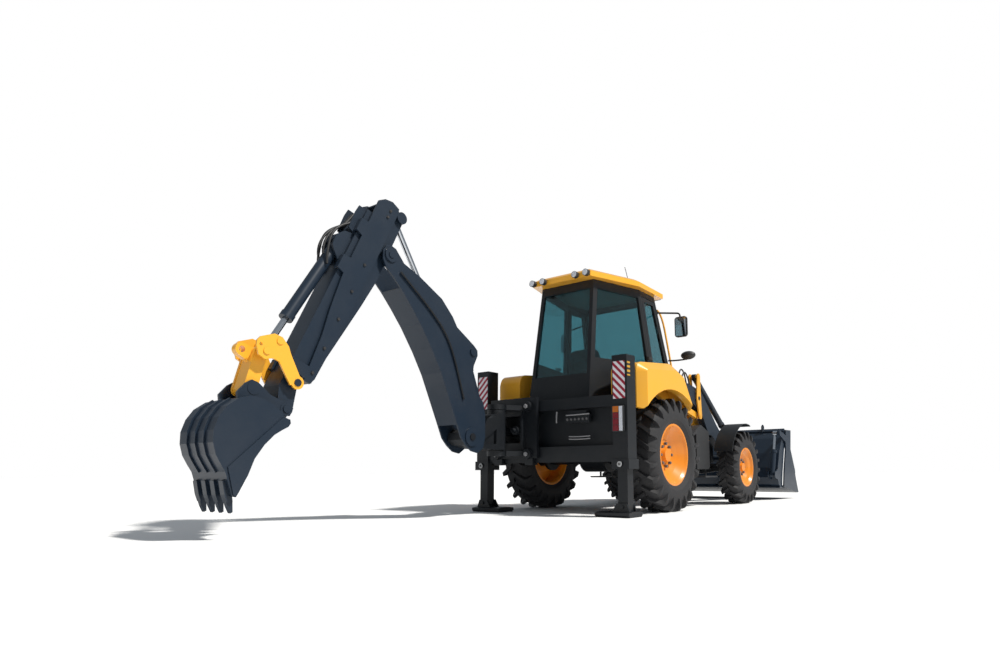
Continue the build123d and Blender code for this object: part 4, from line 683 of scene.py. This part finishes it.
for hand, side in (("left", 1), ("right", -1)):
    board = bmesh.new()
    near, far = side * BOARD_Y - BOARD_HALF, side * BOARD_Y + BOARD_HALF
    upright(board, BOARD_X, near, far, BOARD_FOOT, BOARD_HEAD, -BOARD_THICK)
    stripes = striped(f"hazard_stripes_{hand}", RED, SILVER, STRIPE_PITCH, side)
    fitted(f"hazard_board_{hand}", board, stripes, "machine")
    hatch = bmesh.new()
    corners = [(HATCH_BACK, side * HATCH_Y, HATCH_FOOT), (HATCH_FRONT, side * HATCH_Y, HATCH_FOOT)]
    corners += [(HATCH_FRONT, side * HATCH_Y, HATCH_HEAD), (HATCH_BACK, side * HATCH_Y, HATCH_HEAD)]
    panel(hatch, corners, HATCH_THICK, (0, side, 0))
    hatching = striped(f"hatch_{hand}", AMBER, BLACK, HATCH_PITCH, 0)
    fitted(f"tube_hatch_{hand}", hatch, hatching, "machine")
zinc_plate = sprayed("zinc_plate", (0.42, 0.43, 0.44), 0.35, 0.1, 0.0)
caps = bmesh.new()
studs = bmesh.new()
for side in (-1, 1):
    drum(caps, (CAP_X, side * TUBE_Y, CAP_HEIGHT), (-1, 0, 0), CAP_RADIUS, CAP_THICK, CAP_BEVEL)
    at = (CAP_BOLT_X, side * TUBE_Y, CAP_HEIGHT)
    bolt_head(studs, at, (-1, 0, 0), CAP_BOLT_ACROSS, CAP_BOLT_THICK)
fitted("collar_caps", caps, zinc_plate, "machine")
fitted("collar_bolts", studs, dull_steel, "machine")

# ------------------------------------------------------------------ valve block
# The backhoe's control valve, bolted inside the rear frame: a machined block with six spools, a
# bright steel bar and handle behind it, and bent steel pipes below it.
BLOCK_X, BLOCK_Y, BLOCK_DEEP = -0.957, -0.42, 0.05
SPOOLS, SPOOL_GAP, SPOOL_ACROSS, SPOOL_LENGTH = 6, 0.055, 0.030, 0.018
SPOOL_X, SPOOL_Y, SPOOL_HEIGHT = -0.980, -0.56, 1.11
BAR_RADIUS, HANDLE_RADIUS, VALVE_PIPE_RADIUS = 0.008, 0.009, 0.007

block = bmesh.new()
for height, wide, high in ((1.115, 0.34, 0.09), (1.185, 0.26, 0.05)):
    slab(block, (BLOCK_X, BLOCK_Y, height), (BLOCK_DEEP, wide, high))
fitted("valve_block", block, frame_paint, "machine")
spools = bmesh.new()
for n in range(SPOOLS):
    at = (SPOOL_X, SPOOL_Y + SPOOL_GAP * n, SPOOL_HEIGHT)
    bolt_head(spools, at, (-1, 0, 0), SPOOL_ACROSS, SPOOL_LENGTH)
fitted("valve_spools", spools, dull_steel, "machine")
pipe_steel = sprayed("pipe_steel", (0.24, 0.24, 0.25), 0.3, 0.1, 0.0)
bar = [(-0.994, -0.27, 1.160), (-0.998, -0.42, 1.160), (-0.994, -0.60, 1.165)]
tube("valve_bar", bar, BAR_RADIUS, pipe_steel, "machine")
handle = [(-0.994, -0.13, 1.075), (-0.998, -0.13, 1.14), (-0.994, -0.135, 1.21)]
tube("valve_handle", handle, HANDLE_RADIUS, pipe_steel, "machine")
for n, z in enumerate((0.88, 0.91)):
    pipe = [(-0.98, -0.30, z), (-0.99, -0.45, z - 0.01), (-0.98, -0.60, z)]
    tube(f"valve_pipe_{n}", pipe, VALVE_PIPE_RADIUS, pipe_steel, "machine")

# ------------------------------------------------------------------ loader
# Arms, bucket and clam of welded plate in dark blue, with yellow levers and links on hardened pins.
# The rams have painted barrels and rods of hard chrome that stay bright.
navy_paint = sprayed("navy_paint", (0.009, 0.019, 0.035), 0.40, 0.025, 0.12)
rod_chrome = polished("rod_chrome", (0.56, 0.59, 0.63), 0.16)
finish_in(navy_paint, "loader_arms", "loader_bucket", "bucket_clam")
finish_in(yellow_paint, "loader_levers", "parallel_links")
finish_in(navy_paint, "lift_ram_barrel", "tilt_ram_barrel", "clam_ram_barrel")
finish_in(rod_chrome, "lift_ram_rod", "tilt_ram_rod", "clam_ram_rod", "bucket_pins")

# ------------------------------------------------------------------ loader hoses
# Rubber hoses with a wire braid that rise in a loop beside the levers on each loader arm. Both ends
# are clamped to the arm, so the loop keeps its shape when the arm lifts.
LOOP_Y, LOOP_GAPS, LOOP_RADIUS = 0.47, (0.0, 0.05), 0.011

hose_rubber = moulded("hose_rubber", (0.012, 0.012, 0.013), 0.5, 300, 0.2)
for n, gap in enumerate(LOOP_GAPS):
    for hand, side in (("left", 1), ("right", -1)):
        y = side * (LOOP_Y + gap)
        loop = [
            (1.70, y, 1.74),
            (1.64, y, 1.86),
            (1.66, y, 1.98 - gap),
            (1.74, y, 2.04 - gap),
            (1.84, y, 1.97 - gap),
            (1.90, y, 1.80),
            (1.96, y, 1.70),
        ]
        tube(f"lever_hose_{n}_{hand}", loop, LOOP_RADIUS, hose_rubber, "arms_body")

# ------------------------------------------------------------------ backhoe
# A black carriage and kingpost carry the dark blue boom, dipper, extension and bucket, all welded
# from plate. Yellow cast links tip the bucket; the rams are painted, with chromed rods.
finish_in(frame_paint, "carriage", "kingpost")
finish_in(navy_paint, "boom", "dipper", "dipper_extension", "hoe_bucket")
finish_in(yellow_paint, "side_links", "tipping_link")
finish_in(navy_paint, "boom_ram_barrel", "dipper_ram_barrel", "bucket_ram_barrel")
finish_in(rod_chrome, "boom_ram_rod", "dipper_ram_rod", "bucket_ram_rod")


# ------------------------------------------------------------------ backhoe hoses and pipes
# Braided rubber hoses arch over the dipper's head and end at the bucket ram. Bent steel pipes are
# clipped along both sides of the boom.
HOE_Y = 0.491
DIPPER_PIN, DIPPER_LEAN = (-3.141, 2.670), 24.85
HOSE_RADIUS, PIPE_RADIUS, BOOM_SKIN = 0.012, 0.010, 0.170


def down_dipper(down, back, y):
    """A place on the dipper, from its pin at the boom's tip, in metres down it and to its back."""
    lean = math.radians(DIPPER_LEAN)
    x = DIPPER_PIN[0] - down * math.sin(lean) - back * math.cos(lean)
    z = DIPPER_PIN[1] - down * math.cos(lean) + back * math.sin(lean)
    return (x, y, z)


head_route = ((-0.20, 0.44), (-0.02, 0.47), (0.05, 0.54), (0.20, 0.60))
beside_ram = ((0.42, 0.545), (0.50, 0.50))
onto_ram = ((0.36, 0.60), (0.42, 0.562))
hoses = ((0.420, beside_ram), (0.452, onto_ram), (0.530, onto_ram), (0.562, beside_ram))
for n, (y, foot) in enumerate(hoses):
    route = [down_dipper(down, back, y) for down, back in (*head_route, *foot)]
    tube(f"bucket_hose_{n}", route, HOSE_RADIUS, hose_rubber, "extension_body")
boom_route = ((-2.10, 1.30), (-2.20, 1.62), (-2.36, 1.98), (-2.62, 2.22), (-2.86, 2.40), (-3.02, 2.52))
for n, side in enumerate((-1, 1)):
    route = [(x, HOE_Y + side * BOOM_SKIN, z) for x, z in boom_route]
    tube(f"boom_pipe_{n}", route, PIPE_RADIUS, frame_paint, "boom_body")

# ------------------------------------------------------------------ fasteners
# Six-sided bolts of black steel in a row along both side plates of the dipper, and four brighter
# ones that clamp the carriage to the slide beams.
BOLT_BACK, DIPPER_SKIN = 0.205, 0.155
BOLTS_DOWN = (-0.40, -0.32, 0.30, 0.62, 0.94, 1.26, 1.52)
BOLT_ACROSS, BOLT_THICK = 0.030, 0.014
CLAMP_X, CLAMP_REACH, CLAMP_HEIGHTS = -1.112, 0.246, (1.294, 0.714)
CLAMP_ACROSS, CLAMP_THICK = 0.055, 0.022

black_steel = sprayed("black_steel", (0.03, 0.03, 0.032), 0.4, 0.1, 0.0)
for hand, side in (("left", 1), ("right", -1)):
    heads = bmesh.new()
    for down in BOLTS_DOWN:
        at = down_dipper(down, BOLT_BACK, HOE_Y + side * DIPPER_SKIN)
        bolt_head(heads, at, (0, side, 0), BOLT_ACROSS, BOLT_THICK)
    fitted(f"dipper_bolts_{hand}", heads, black_steel, "dipper_body")
heads = bmesh.new()
for side in (-1, 1):
    for z in CLAMP_HEIGHTS:
        at = (CLAMP_X, HOE_Y + side * CLAMP_REACH, z)
        bolt_head(heads, at, (-1, 0, 0), CLAMP_ACROSS, CLAMP_THICK)
fitted("clamp_bolts", heads, pipe_steel, "carriage_body")
